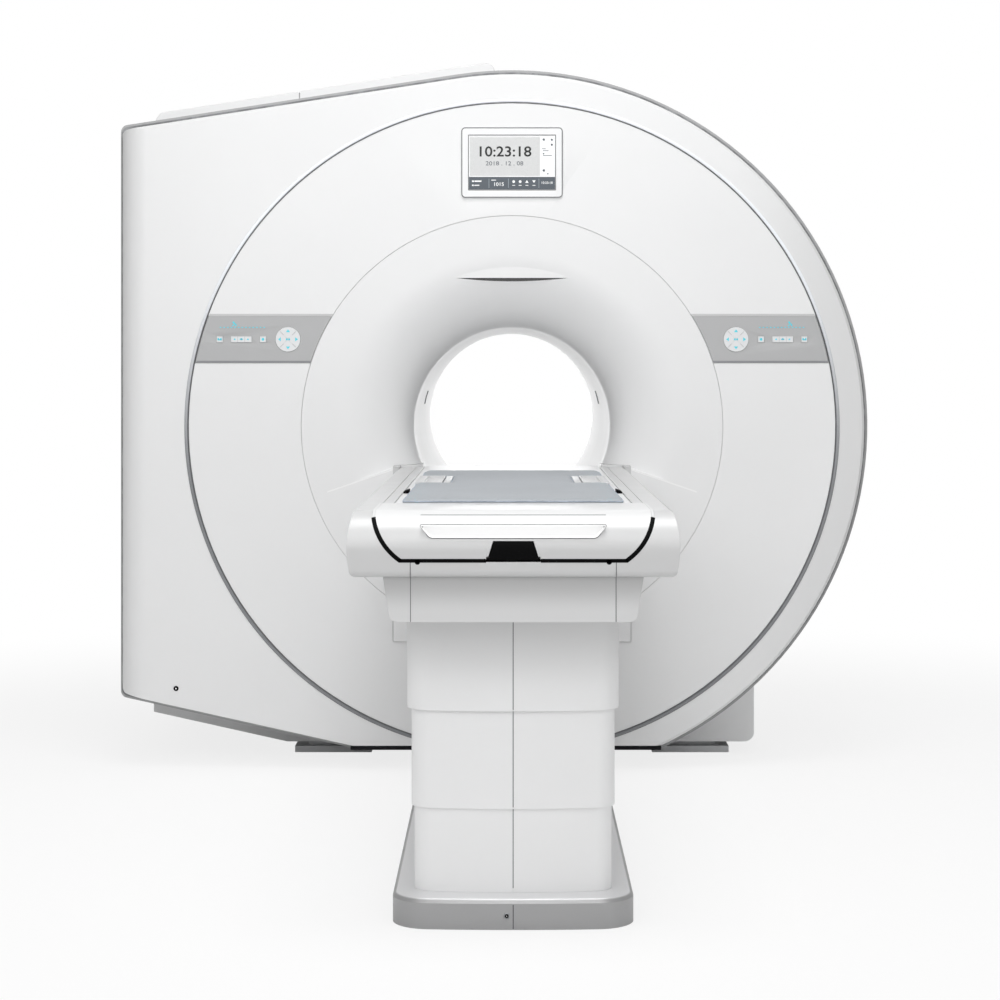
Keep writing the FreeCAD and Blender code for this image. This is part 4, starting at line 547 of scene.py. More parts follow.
class Coat(Enum):
    """The finishes of the machine."""

    COVER = MouldedPlastic("cover_white_finish", (0.925, 0.926, 0.927), 0.38)
    # painted shade: the front cover darker towards its right rim, as if lit from the left
    FRONT = MouldedPlastic("front_white_finish", (0.925, 0.926, 0.927), 0.38, painted_shading=PaintedShading(0, 0.62, 1.02, 0.935))
    # painted light: the skirt lighter towards its right side
    SKIRT = MouldedPlastic("skirt_white_finish", (0.86, 0.861, 0.862), 0.38, painted_shading=PaintedShading(0, -0.20, 0.50, 1.15))
    FUNNEL = MouldedPlastic("funnel_white", (0.92, 0.921, 0.922), 0.35, gloss=0.22)
    # painted highlight: bright white for the strips along the shelf's turned-down edges
    EDGE = MouldedPlastic("painted_highlight_white", (0.985, 0.985, 0.985), 0.2, gloss=0.5)
    # painted shade: the side shell darker along its front rim, beside the front cover's edge
    SHELL = MouldedPlastic("shell_grey_finish", (0.82, 0.822, 0.826), 0.42, painted_shading=PaintedShading(1, -0.722, -0.732, 0.86))
    HOUSING = MouldedPlastic("housing_white_finish", (0.795, 0.796, 0.797), 0.32, gloss=0.25)
    # painted light: the hood lighter towards its top, as if lit from above
    FASCIA = MouldedPlastic("fascia_white", (0.79, 0.791, 0.792), 0.28, gloss=0.4, smear=0.02,
                            painted_shading=PaintedShading(2, 0.862, 0.900, 1.12))
    # painted shadow: the columns darker towards the top of the upper section, under the carrier
    COLUMN = MouldedPlastic("table_grey_finish", (0.965, 0.966, 0.967), 0.42, painted_shading=PaintedShading(2, 0.50, 0.67, 0.90))
    # painted shadow: the carrier darker towards its top, under the couch
    CARRIER = MouldedPlastic("carrier_grey_finish", (0.84, 0.841, 0.842), 0.42, painted_shading=PaintedShading(2, 0.690, 0.762, 0.84))
    LINER = MouldedPlastic("liner_white_finish", (0.905, 0.906, 0.907))
    CRADLE = MouldedPlastic("cradle_white_finish", (0.895, 0.896, 0.897), 0.34)
    SOCKET = MouldedPlastic("socket_white_finish", (0.80, 0.802, 0.805), 0.34)
    BRIDGE = MouldedPlastic("bridge_grey_finish", (0.80, 0.81, 0.82))
    PANEL = MouldedPlastic("panel_grey_finish", (0.71, 0.712, 0.715), 0.42, gloss=0.1)
    # painted shadow: dark strips under the panels and across the foot end's hood
    PANEL_DARK = MouldedPlastic("painted_shadow_grey", (0.56, 0.565, 0.575), 0.45, gloss=0.1)
    KEY = MouldedPlastic("key_grey_finish", (0.90, 0.905, 0.91), 0.36, gloss=0.15)
    BEZEL = MouldedPlastic("bezel_silver_finish", (0.93, 0.932, 0.935), 0.28, gloss=0.35)
    SLIDE = MouldedPlastic("slide_plastic_finish", (0.88, 0.88, 0.87), 0.5, gloss=0.0)
    PORT = MouldedPlastic("port_grey_finish", (0.58, 0.59, 0.61))
    # painted reflection: a light copy of the ring's metal, brighter towards the top
    RING_LIGHT = MouldedPlastic("ring_highlight_finish", (0.52, 0.525, 0.535), 0.25, gloss=0.4,
                                painted_shading=PaintedShading(2, 0.8, 1.6, 1.86))
    RING = BrushedMetal("ring_silver_finish", (0.42, 0.425, 0.435), 0.40, 0.4)
    TRIM_DARK = BrushedMetal("dark_trim_finish", (0.44, 0.445, 0.45), 0.45, 0.2)
    RAIL = BrushedMetal("rail_alu_finish", (0.72, 0.73, 0.74), 0.36, lines=(1.0, 0.02, 1.0))
    STEEL = BrushedMetal("steel_finish", (0.62, 0.63, 0.64), 0.42, lines=(1.0, 1.0, 0.02))
    # painted light: the base's top face lighter than its sides
    BASE = SprayedMetal("base_silver_finish", (0.665, 0.665, 0.668), 0.34, 0.4, painted_shading=PaintedShading(2, 0.061, 0.065, 1.44))
    FOOT = SprayedMetal("foot_paint", (0.88, 0.885, 0.89), 0.45, 0.0)
    CRYOSTAT = SprayedMetal("cryostat_paint", (0.84, 0.845, 0.85), 0.42, 0.05)
    RESIN = CastResin("coil_resin_finish", (0.66, 0.62, 0.52), 0.5)
    # painted shadow: black for the strip along the front cover's lower edge
    SEAL = SoftSeal("painted_shadow_black", (0.10, 0.10, 0.11), 0.7)
    GASKET = SoftSeal("grey_gasket_finish", (0.50, 0.505, 0.51), 0.7)
    JOINT = SoftSeal("joint_grey", (0.30, 0.30, 0.31), 0.7)
    BOX = SoftSeal("box_black_finish", (0.16, 0.16, 0.17), 0.55)
    LOCK = SoftSeal("lock_black_finish", (0.012, 0.012, 0.014), 0.6)
    PIPING = SoftSeal("mattress_piping", (0.60, 0.63, 0.68), 0.65)
    LENS = DarkLens("dark_lens_finish", (0.045, 0.045, 0.055), 0.12)
    # painted light: the grip's lining glows to lighten the pocket's shade
    GRIP = LitMark("grip_painted_glow_white", (0.95, 0.95, 0.95), 0.3, 0.24)
    MARK = LitMark("mark_cyan", (0.36, 0.80, 0.86), 0.4, 0.12)
    MARK_PALE = LitMark("mark_grey", (0.64, 0.68, 0.71), 0.4, 0.05)
    SCREEN = LitMark("screen_pale", (0.825, 0.828, 0.828), 0.3, 0.05)
    SCREEN_WHITE = LitMark("screen_white", (0.96, 0.965, 0.97), 0.3, 0.10)
    SCREEN_SLATE = LitMark("screen_slate", (0.32, 0.35, 0.38), 0.3, 0.05)
    SCREEN_INK = LitMark("screen_ink", (0.05, 0.055, 0.06), 0.35, 0.0)
    MATTRESS = CoatedCloth("mattress_cloth_finish", (0.640, 0.658, 0.678), 0.62)
    FLOOR = FloorPaint("studio_floor", (0.95, 0.95, 0.95))

    def material(self) -> bpy.types.Material:
        """Give the finish's material, built the first time it is asked for."""
        return bpy.data.materials.get(self.value.name) or self.value.make()


# ---------------------------------------------------------------- making pieces
def add_object(name: str, data: bpy.types.ID) -> Piece:
    """Put a new object with this mesh, curve, lamp or camera into the scene.

    Args:
        name: The object's name.
        data: What it shows.

    Returns:
        The new object.
    """
    made = bpy.data.objects.new(name, data)
    bpy.context.scene.collection.objects.link(made)
    return made


def to_data(name: str, mesh: Mesh) -> bpy.types.Mesh:
    """Write a shape into new mesh data and free it.

    Args:
        name: The mesh data's name.
        mesh: The shape; it is freed.

    Returns:
        The mesh data.
    """
    data = bpy.data.meshes.new(name)
    mesh.to_mesh(data)
    mesh.free()
    return data


def place_piece(name: str, mesh: Mesh, body: str, coat: Coat, stands_for: Sequence[str] = (),
                turn: float = FLAT_TURN) -> Piece:
    """Turn a finished bmesh into a piece of the object.

    Args:
        name: The piece's name.
        mesh: Its shape, in metres at rest; it is freed.
        body: The CAD body that it rides on.
        coat: Its finish.
        stands_for: CAD nodes that it replaces.
        turn: Faces that meet at less than this angle are shaded as one surface.

    Returns:
        The new object.
    """
    for face in mesh.faces:
        face.smooth = True
    for edge in mesh.edges:
        edge.smooth = len(edge.link_faces) == 2 and edge.calc_face_angle(0.0) < turn
    piece = add_object(name, to_data(name, mesh))
    piece.data.materials.append(coat.material())
    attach(piece, body)
    if stands_for:
        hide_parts(*stands_for)
    return piece


def merged_copy(node: str) -> Mesh:
    """Copy a CAD node's mesh with its loose triangles joined, each flat area as one face.

    Args:
        node: The CAD node's name.

    Returns:
        The merged shape.
    """
    mesh = bmesh.new()
    mesh.from_mesh(frame["nodes"][node].data)
    bmesh.ops.remove_doubles(mesh, verts=mesh.verts[:], dist=1e-5)
    bmesh.ops.dissolve_limit(mesh, angle_limit=math.radians(0.3), verts=mesh.verts[:], edges=mesh.edges[:],
                             delimit={"NORMAL"})
    return mesh


def outward(mesh: Mesh) -> Mesh:
    """Turn all faces of a closed shape outwards."""
    bmesh.ops.recalc_face_normals(mesh, faces=mesh.faces[:])
    return mesh


@dataclass(frozen=True)
class Skin:
    """A CAD node shown through a merged copy of itself, with fine rounded edges and smooth curves."""

    node: str
    coat: Coat
    edge: float

    def dress(self) -> Piece:
        """Build the copy in the node's place, its sharp edges rounded and its flat faces kept flat."""
        body = frame["nodes"][self.node]["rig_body"]
        piece = place_piece(self.node + "_skin", merged_copy(self.node), body, self.coat,
                            (self.node,))
        bevel = piece.modifiers.new("Rounded", "BEVEL")
        bevel.width = self.edge
        bevel.segments = 2
        bevel.limit_method = "ANGLE"
        bevel.angle_limit = FLAT_TURN
        bevel.harden_normals = True
        bevel.miter_outer = "MITER_ARC"
        return piece


@dataclass(frozen=True)
class Covers:
    """CAD nodes that keep their shape: those in sight as rounded copies, the hidden ones painted as they are."""

    skins: tuple[Skin, ...]
    hidden: tuple[tuple[Coat, str], ...]

    def build(self) -> list[Piece]:
        """Paint and dress the nodes."""
        for coat, nodes in self.hidden:
            for node in nodes.split():
                materials = frame["nodes"][node].data.materials
                materials.clear()
                materials.append(coat.material())
        return [skin.dress() for skin in self.skins]


def baked(holder: Piece, join: float = 1e-6) -> Mesh:
    """Take the finished shape of a curve or of an object with modifiers, and remove the object.

    Args:
        holder: The object.
        join: Points closer than this become one.

    Returns:
        The shape.
    """
    bpy.context.view_layer.update()
    data = bpy.data.meshes.new_from_object(holder.evaluated_get(bpy.context.evaluated_depsgraph_get()))
    bpy.data.objects.remove(holder)
    mesh = bmesh.new()
    mesh.from_mesh(data)
    bpy.data.meshes.remove(data)
    bmesh.ops.remove_doubles(mesh, verts=mesh.verts[:], dist=join)
    return mesh


def carve(target: Mesh, tool: Mesh, operation: str = "DIFFERENCE") -> Mesh:
    """Cut, join or intersect two closed shapes.

    Args:
        target: The first shape; it is freed.
        tool: The second shape; it is freed.
        operation: DIFFERENCE, UNION or INTERSECT.

    Returns:
        The result.
    """
    blanks = []
    for shape in (target, tool):
        blanks.append(add_object("blank", to_data("blank", outward(shape))))
    cut = blanks[0].modifiers.new("Carved", "BOOLEAN")
    cut.object, cut.operation, cut.solver = blanks[1], operation, "EXACT"
    result = baked(blanks[0], 1e-5)
    bpy.data.objects.remove(blanks[1])
    return result


def join_meshes(parts: Iterable[Mesh]) -> Mesh:
    """Put several shapes into one, freeing them.

    Args:
        parts: The shapes; they are freed.

    Returns:
        One shape that holds them all.
    """
    whole = bmesh.new()
    for part in parts:
        data = to_data("part", part)
        whole.from_mesh(data)
        bpy.data.meshes.remove(data)
    return whole


def rounded_edges(mesh: Mesh, width: float, edges: Optional[list] = None, segments: int = 2) -> Mesh:
    """Bevel some of a shape's edges, or all of them.

    Args:
        mesh: The shape.
        width: The bevel's width.
        edges: The edges to bevel, or None for all.
        segments: Facets of each round.

    Returns:
        The same shape, beveled.
    """
    bmesh.ops.bevel(mesh, geom=mesh.edges[:] if edges is None else edges, offset=width, segments=segments,
                    profile=0.5, affect="EDGES", material=-1)
    return mesh


def block(first: Point, second: Point) -> Mesh:
    """Make a box between two opposite corners.

    Args:
        first: One corner.
        second: The corner opposite, on either side of the first.

    Returns:
        The box.
    """
    low, high = (Vector(map(pick, first, second)) for pick in (min, max))
    mesh = bmesh.new()
    bmesh.ops.create_cube(mesh, size=1.0)
    bmesh.ops.scale(mesh, vec=high - low, verts=mesh.verts[:])
    bmesh.ops.translate(mesh, vec=(high + low) / 2, verts=mesh.verts[:])
    return mesh


def thicken(mesh: Mesh, move: Point) -> list[bmesh.types.BMVert]:
    """Close a flat mesh into a solid by a moved copy of its faces.

    Args:
        mesh: The flat mesh, changed in place.
        move: How far the copy lies from the faces.

    Returns:
        The copy's points.
    """
    moved = bmesh.ops.extrude_face_region(mesh, geom=mesh.faces[:])["geom"]
    far = [item for item in moved if isinstance(item, bmesh.types.BMVert)]
    bmesh.ops.translate(mesh, vec=move, verts=far)
    return far


def plate(points: Sequence[Spot], face: float, depth: float) -> Mesh:
    """Make a plate that faces the front.

    Args:
        points: Its outline as (x, z), in order.
        face: The y of its face.
        depth: How far it reaches back.

    Returns:
        The closed plate.
    """
    mesh = bmesh.new()
    mesh.faces.new([mesh.verts.new((x, face, z)) for x, z in points])
    thicken(mesh, (0.0, depth, 0.0))
    return outward(mesh)


def stand_up(mesh: Mesh, place: Point) -> Mesh:
    """Turn a mesh that faces up to the front, and move it to its place.

    Args:
        mesh: The shape, changed in place.
        place: Where its origin goes.

    Returns:
        The same shape.
    """
    bmesh.ops.rotate(mesh, cent=(0, 0, 0), matrix=Matrix.Rotation(math.pi / 2, 3, "X"), verts=mesh.verts[:])
    bmesh.ops.translate(mesh, vec=place, verts=mesh.verts[:])
    return mesh


def button(radii: Spot, depth: float, segments: int, place: Point) -> Mesh:
    """Make a short cylinder or cone that faces the front.

    Args:
        radii: The radius of its back and of its front.
        depth: Its length along Y.
        segments: Facets round it.
        place: Its middle.

    Returns:
        The closed shape.
    """
    mesh = bmesh.new()
    back, front = radii
    bmesh.ops.create_cone(mesh, cap_ends=True, segments=segments, radius1=back, radius2=front, depth=depth)
    return stand_up(mesh, place)


def turned(profile: Sequence[Spot], steps: int, closed: bool = True) -> Mesh:
    """Spin a (radius, y) profile about the bore's axis.

    Args:
        profile: The profile's points; a radius of 0 lies on the axis.
        steps: Facets of the full turn.
        closed: Whether the profile's last point joins its first.

    Returns:
        The turned shape.
    """
    mesh = bmesh.new()
    ring = [mesh.verts.new((radius, y, BORE_AXIS.z)) for radius, y in profile]
    pairs = zip(ring, ring[1:] + ring[:1] if closed else ring[1:])
    edges = [mesh.edges.new(pair) for pair in pairs if pair[0].co.x or pair[1].co.x]
    bmesh.ops.spin(mesh, geom=ring + edges, cent=BORE_AXIS, axis=(0.0, 1.0, 0.0), angle=math.tau,
                   steps=steps, use_merge=True)
    bmesh.ops.remove_doubles(mesh, verts=mesh.verts[:], dist=1e-6)
    bmesh.ops.dissolve_degenerate(mesh, edges=mesh.edges[:], dist=1e-7)
    return outward(mesh)


# ---------------------------------------------------------------- the gantry
@dataclass(frozen=True)
class GantryCovers(Covers):
    """The moulded covers round the magnet, and what they hide."""

    skins: tuple[Skin, ...] = (
        Skin("front_cover", Coat.FRONT, 0.0022),
        Skin("side_shell", Coat.SHELL, 0.0022),
        Skin("rear_cover", Coat.COVER, 0.0022),
        Skin("annulus_cover", Coat.COVER, 0.0022),
        Skin("roof_covers", Coat.COVER, 0.004),
        Skin("gantry_skirt", Coat.SKIRT, 0.002),
        Skin("docking_bay", Coat.COVER, 0.002),
        Skin("bore_bridge", Coat.BRIDGE, 0.0015),
        Skin("bridge_strips", Coat.SLIDE, 0.0006),
        Skin("cover_locks", Coat.LOCK, 0.0006),
        Skin("service_turret", Coat.COVER, 0.004),
        Skin("display_bezel", Coat.BEZEL, 0.0012),
        Skin("left_control_panel", Coat.PANEL, 0.0010),
        Skin("right_control_panel", Coat.PANEL, 0.0010),
        Skin("bore_liner", Coat.LINER, 0.0010),
        Skin("bore_ports", Coat.PORT, 0.0008),
    )
    hidden: tuple[tuple[Coat, str], ...] = (
        (Coat.GASKET, "cover_gasket"), (Coat.BOX, "switch_boxes"), (Coat.CRYOSTAT, "magnet_vessel"),
        (Coat.RESIN, "gradient_coil body_coil"), (Coat.FOOT, "magnet_feet"), (Coat.LENS, "laser_window"),
        (Coat.SCREEN_WHITE, "display_screen"),
    )


@dataclass(frozen=True)
class RingTrim:
    """The trim round the annular cover, a dark bead inside a wider light one that is a painted highlight, and a
    dark strip of painted shadow under the front cover.
    """

    inner: float = 0.9700
    parting: float = 0.9736
    outer: float = 0.9830
    base: float = -0.8352
    dark_top: float = -0.8362
    light_top: float = -0.8375
    back: float = -0.8290
    around: int = 256
    # painted shadow: a dark strip along the front cover's lower edge, standing in for the shadow line there
    shadow_strip: tuple[Point, Point] = ((-0.4850, -0.8330, 0.0590), (0.4480, -0.7980, 0.0722))
    shadow_strip_edge: float = 0.0020

    def bead(self, low: float, high: float, top: float) -> Mesh:
        """Make one half-round bead between two radii.

        Args:
            low: The inner radius.
            high: The outer radius.
            top: The y of its crest.

        Returns:
            The bead, turned about the bore's axis.
        """
        middle, half = (low + high) / 2, (high - low) / 2
        line = [(middle + half * math.cos(turn), self.base + (top - self.base) * math.sin(turn))
                for turn in (math.pi * step / 10 for step in range(11))]
        return turned([(high, self.back)] + line + [(low, self.back)], self.around)

    def build(self) -> list[Piece]:
        """Build both beads and the painted shadow strip."""
        dark = self.bead(self.inner, self.parting, self.dark_top)
        light = self.bead(self.parting, self.outer, self.light_top)
        shadow_strip = rounded_edges(block(*self.shadow_strip), self.shadow_strip_edge)
        return [
            place_piece("ring_dark_bead", dark, "gantry", Coat.RING, ("ring_trim",), BEAD_TURN),
            # the light bead is a painted highlight on the ring
            place_piece("ring_highlight_bead", light, "gantry", Coat.RING_LIGHT, (), BEAD_TURN),
            place_piece("front_shadow_strip", shadow_strip, "gantry", Coat.SEAL),
        ]


@dataclass(frozen=True)
class Funnel:
    """The bell-shaped inner cover: a flat rim that turns into the bore, a shelf for the table, a laser visor."""

    front: float = -0.835
    rear: float = -0.622
    round_r: float = 0.213
    flat_r: float = 0.513
    rim_r: float = 0.632
    bore_r: float = 0.300
    wall: float = 0.006
    crease_x: float = 0.336
    shelf_z: float = 0.912
    slope: float = math.radians(18.9)
    dock_half: float = 0.357
    dock_low: float = 0.384
    visor_rise: float = 0.446
    visor_back: float = 0.003
    slot_half: float = 0.171
    slot_sag: float = 0.010
    slot_deep: float = 0.06
    past: float = 0.01
    reach: float = 0.9
    roof: float = 2.3
    shelf_round: float = 0.009
    strip_x: Spot = (0.3580, 0.5540)
    strip_drops: Spot = (0.0014, 0.0058)
    strip_proud: float = 0.0004
    strip_thick: float = 0.0024
    around: int = 160
    bell_steps: int = 30
    slot_steps: int = 24

    def fall(self, x: float) -> float:
        """Give how far the shelf has fallen away at a distance from the middle plane."""
        return math.tan(self.slope) * (x - self.crease_x)

    def bell(self, radius: float) -> list[Spot]:
        """List the (radius, y) points of the quarter-round mouth, from the front to the bore."""
        turns = [math.pi / 2 * step / self.bell_steps for step in range(self.bell_steps + 1)]
        return [(self.flat_r - radius * math.sin(turn), self.rear - radius * math.cos(turn)) for turn in turns]

    def disc(self, rims: Sequence[Spot]) -> Mesh:
        """Turn a solid whose (radius, y) outline starts and ends on the axis."""
        return turned([(0.0, rims[0][1]), *rims, (0.0, rims[-1][1])], self.around, closed=False)

    def above_shelf(self, drop: float) -> Mesh:
        """Make the room above the shelf, which is level beside the table and falls away to each side.

        Args:
            drop: How far below the shelf's surface the room starts.

        Returns:
            The room, as a tool to cut or keep with.
        """
        level = self.shelf_z - drop
        low = level - self.fall(self.reach)
        points = [(-self.crease_x, level), (self.crease_x, level), (self.reach, low), (self.reach, self.roof),
                  (-self.reach, self.roof), (-self.reach, low)]
        return plate(points, self.front - 2 * self.past, 0.30)

    def air(self) -> Mesh:
        """Make the air inside the bell, less the visor above the bore."""
        mouth = self.disc([(self.flat_r, self.front - self.past), *self.bell(self.round_r),
                           (self.bore_r, self.rear + 2 * self.past)])
        lower = (-self.rim_r, self.front + self.visor_back, BORE_AXIS.z + self.visor_rise)
        visor = block(lower, (self.rim_r, self.rear, BORE_AXIS.z + self.rim_r))
        return carve(carve(mouth, self.above_shelf(0.0), "INTERSECT"), visor)

    def slot(self) -> Mesh:
        """Make the crescent of the laser slot."""
        top = BORE_AXIS.z + self.visor_rise
        turns = [step / self.slot_steps for step in range(self.slot_steps + 1)]
        points = [(self.slot_half * (1 - 2 * turn), top - self.slot_sag * 4 * turn * (1 - turn))
                  for turn in turns]
        return plate(points, self.front - self.past, self.slot_deep + self.past)

    def soften(self, body: Mesh) -> None:
        """Round the shelf's front edge on both sides of the table.

        Args:
            body: The cover, changed in place.
        """
        def on_shelf(vert: bmesh.types.BMVert) -> bool:
            """Tell whether a point lies on the front face, at or below the shelf and beside the table.

            Args:
                vert: A point of the cover.

            Returns:
                True for a point of the edge that is rounded.
            """
            x, y, z = vert.co
            return (abs(y - self.front) < 1e-4 and z < self.shelf_z + 0.002 and abs(x) > self.dock_half - 0.001
                    and math.hypot(x, z - BORE_AXIS.z) < self.rim_r - 0.004)

        shelf = [edge for edge in body.edges if len(edge.link_faces) == 2 and edge.is_convex
                 and edge.calc_face_angle(0.0) >= BEAD_TURN and all(map(on_shelf, edge.verts))]
        bmesh.ops.bevel(body, geom=shelf, offset=self.shelf_round, segments=6, profile=0.5, affect="EDGES",
                        material=-1, clamp_overlap=True)

    def cover(self) -> Piece:
        """Build the cover: a bell and a flat rim, less the air, the laser slot and the table's channel."""
        bell = self.disc([(self.flat_r + self.wall, self.front), *self.bell(self.round_r - self.wall),
                          (self.bore_r + self.wall, self.rear)])
        rim = self.disc([(self.rim_r, self.front), (self.rim_r, self.front + self.wall)])
        body = carve(rim, carve(bell, self.above_shelf(self.wall), "INTERSECT"), "UNION")
        lower = (-self.dock_half, self.front - 2 * self.past, self.dock_low)
        upper = (self.dock_half, 0.0, self.shelf_z)
        for tool in (self.air, self.slot, lambda: block(lower, upper)):
            body = carve(body, tool())
        self.soften(body)
        piece = place_piece("funnel_bell", body, "gantry", Coat.FUNNEL, ("funnel_cover",),
                            math.radians(20))
        piece.modifiers.new("Even shading", "WEIGHTED_NORMAL").keep_sharp = True
        return piece

    def shelf_highlight_strip(self) -> Piece:
        """Build the painted highlight: bright white strips along the edges where the shelf turns down, on each
        side of the table.
        """
        line = [(x, self.shelf_z - self.fall(x)) for x in self.strip_x]
        upper, lower = self.strip_drops
        rim = [(x, z - upper) for x, z in line] + [(x, z - lower) for x, z in line[::-1]]
        edges = [plate([(side * x, z) for x, z in rim], self.front - self.strip_proud, self.strip_thick)
                 for side in SIDES]
        return place_piece("shelf_highlight_strip", join_meshes(edges), "gantry", Coat.EDGE)

    def build(self) -> list[Piece]:
        """Build the funnel's pieces."""
        return [self.cover(), self.shelf_highlight_strip()]


@dataclass(frozen=True)
class DockLips:
    """Ledges that carry the couch's rim on to the bore, beside the cradle's path, with cheeks below."""

    inner: float = 0.2700
    outer: float = 0.3572
    near: float = -0.7664
    far: float = -0.6180
    rim_inner: float = 0.3360
    front: float = -0.8340
    top: float = 0.9115
    thick: float = 0.0220
    rim_thick: float = 0.0046
    edge: float = 0.0012
    cheek: tuple[Spot, ...] = (
        (0.3572, 0.8000), (0.3518, 0.8000), (0.3517, 0.8368), (0.3507, 0.8550), (0.3483, 0.8720),
        (0.3457, 0.8850), (0.3420, 0.8975), (0.3397, 0.9035), (0.3345, 0.9069), (0.3572, 0.9069))

    def build(self) -> list[Piece]:
        """Build both sides as one piece on the gantry."""
        spans = ((self.inner, self.near, self.far, self.thick),
                 (self.rim_inner, self.front, self.near + 0.001, self.rim_thick))
        parts = [rounded_edges(block((side * inner, near, self.top - thick), (side * self.outer, far, self.top)),
                               self.edge) for side in SIDES for inner, near, far, thick in spans]
        parts += [plate([(side * x, z) for x, z in self.cheek], self.front, self.near - self.front)
                  for side in SIDES]
        return [place_piece("dock_lips", join_meshes(parts), "gantry", Coat.HOUSING)]


# ---------------------------------------------------------------- the patient table
@dataclass(frozen=True)
class TableCovers(Covers):
    """Base, columns, couch and cradle, and the working parts inside them."""

    skins: tuple[Skin, ...] = (
        Skin("base_cover", Coat.BASE, 0.0015),
        Skin("column_lower", Coat.COLUMN, 0.0016),
        Skin("column_middle", Coat.COLUMN, 0.0016),
        Skin("column_upper", Coat.COLUMN, 0.0016),
        Skin("couch_carrier", Coat.CARRIER, 0.003),
        Skin("couch_housing", Coat.HOUSING, 0.0012),
        Skin("foot_fascia", Coat.FASCIA, 0.0012),
        Skin("release_latch", Coat.LOCK, 0.0008),
        Skin("rail_covers", Coat.HOUSING, 0.0012),
        Skin("cradle_board", Coat.CRADLE, 0.0025),
        Skin("coil_sockets", Coat.SOCKET, 0.0010),
        Skin("strap_clips", Coat.LOCK, 0.0012),
    )
    hidden: tuple[tuple[Coat, str], ...] = (
        (Coat.STEEL, "base_plate mast_lower mast_middle mast_upper latch_pin drive_rack"),
        (Coat.RAIL, "guide_rails cradle_carriage"), (Coat.SLIDE, "slide_blocks"),
    )


# ---------------------------------------------------------------- display and keys
def rounded(centre: Spot, size: Spot, corner: float, steps: int = 5) -> list[Spot]:
    """List the (x, z) points of a rectangle with rounded corners.

    Args:
        centre: The rectangle's middle.
        size: Its width and height.
        corner: The corners' radius.
        steps: Facets of each corner.

    Returns:
        The outline, anticlockwise from the right.
    """
    half_x, half_z = size[0] / 2 - corner, size[1] / 2 - corner
    points = []
    for quarter, (side_x, side_z) in enumerate(((1, 1), (-1, 1), (-1, -1), (1, -1))):
        for turn in (math.pi / 2 * (quarter + step / steps) for step in range(steps + 1)):
            points.append((centre[0] + side_x * half_x + corner * math.cos(turn),
                           centre[1] + side_z * half_z + corner * math.sin(turn)))
    return points


@dataclass(frozen=True)
class Writing:
    """A line of digits: its text, height, middle, stretch along X, and how much bolder than plain it is."""

    text: str
    height: float
    middle: Spot
    width: float
    weight: float = 0.0

    def shape(self, face: float, thick: float) -> Mesh:
        """Make the flat digits, facing the front.

        Args:
            face: The y of the digits' face.
            thick: How far they reach back.

        Returns:
            The closed digits.
        """
        curve = bpy.data.curves.new("digits", "FONT")
        curve.body = self.text
        curve.size = self.height / DIGIT_SHARE
        curve.align_x = curve.align_y = "CENTER"
        curve.extrude = thick / 2
        curve.resolution_u = 3
        curve.offset = self.weight
        mesh = baked(add_object("digits", curve))
        bmesh.ops.scale(mesh, vec=(self.width, 1.0, 1.0), verts=mesh.verts[:])
        return outward(stand_up(mesh, (self.middle[0], face + thick / 2, self.middle[1])))


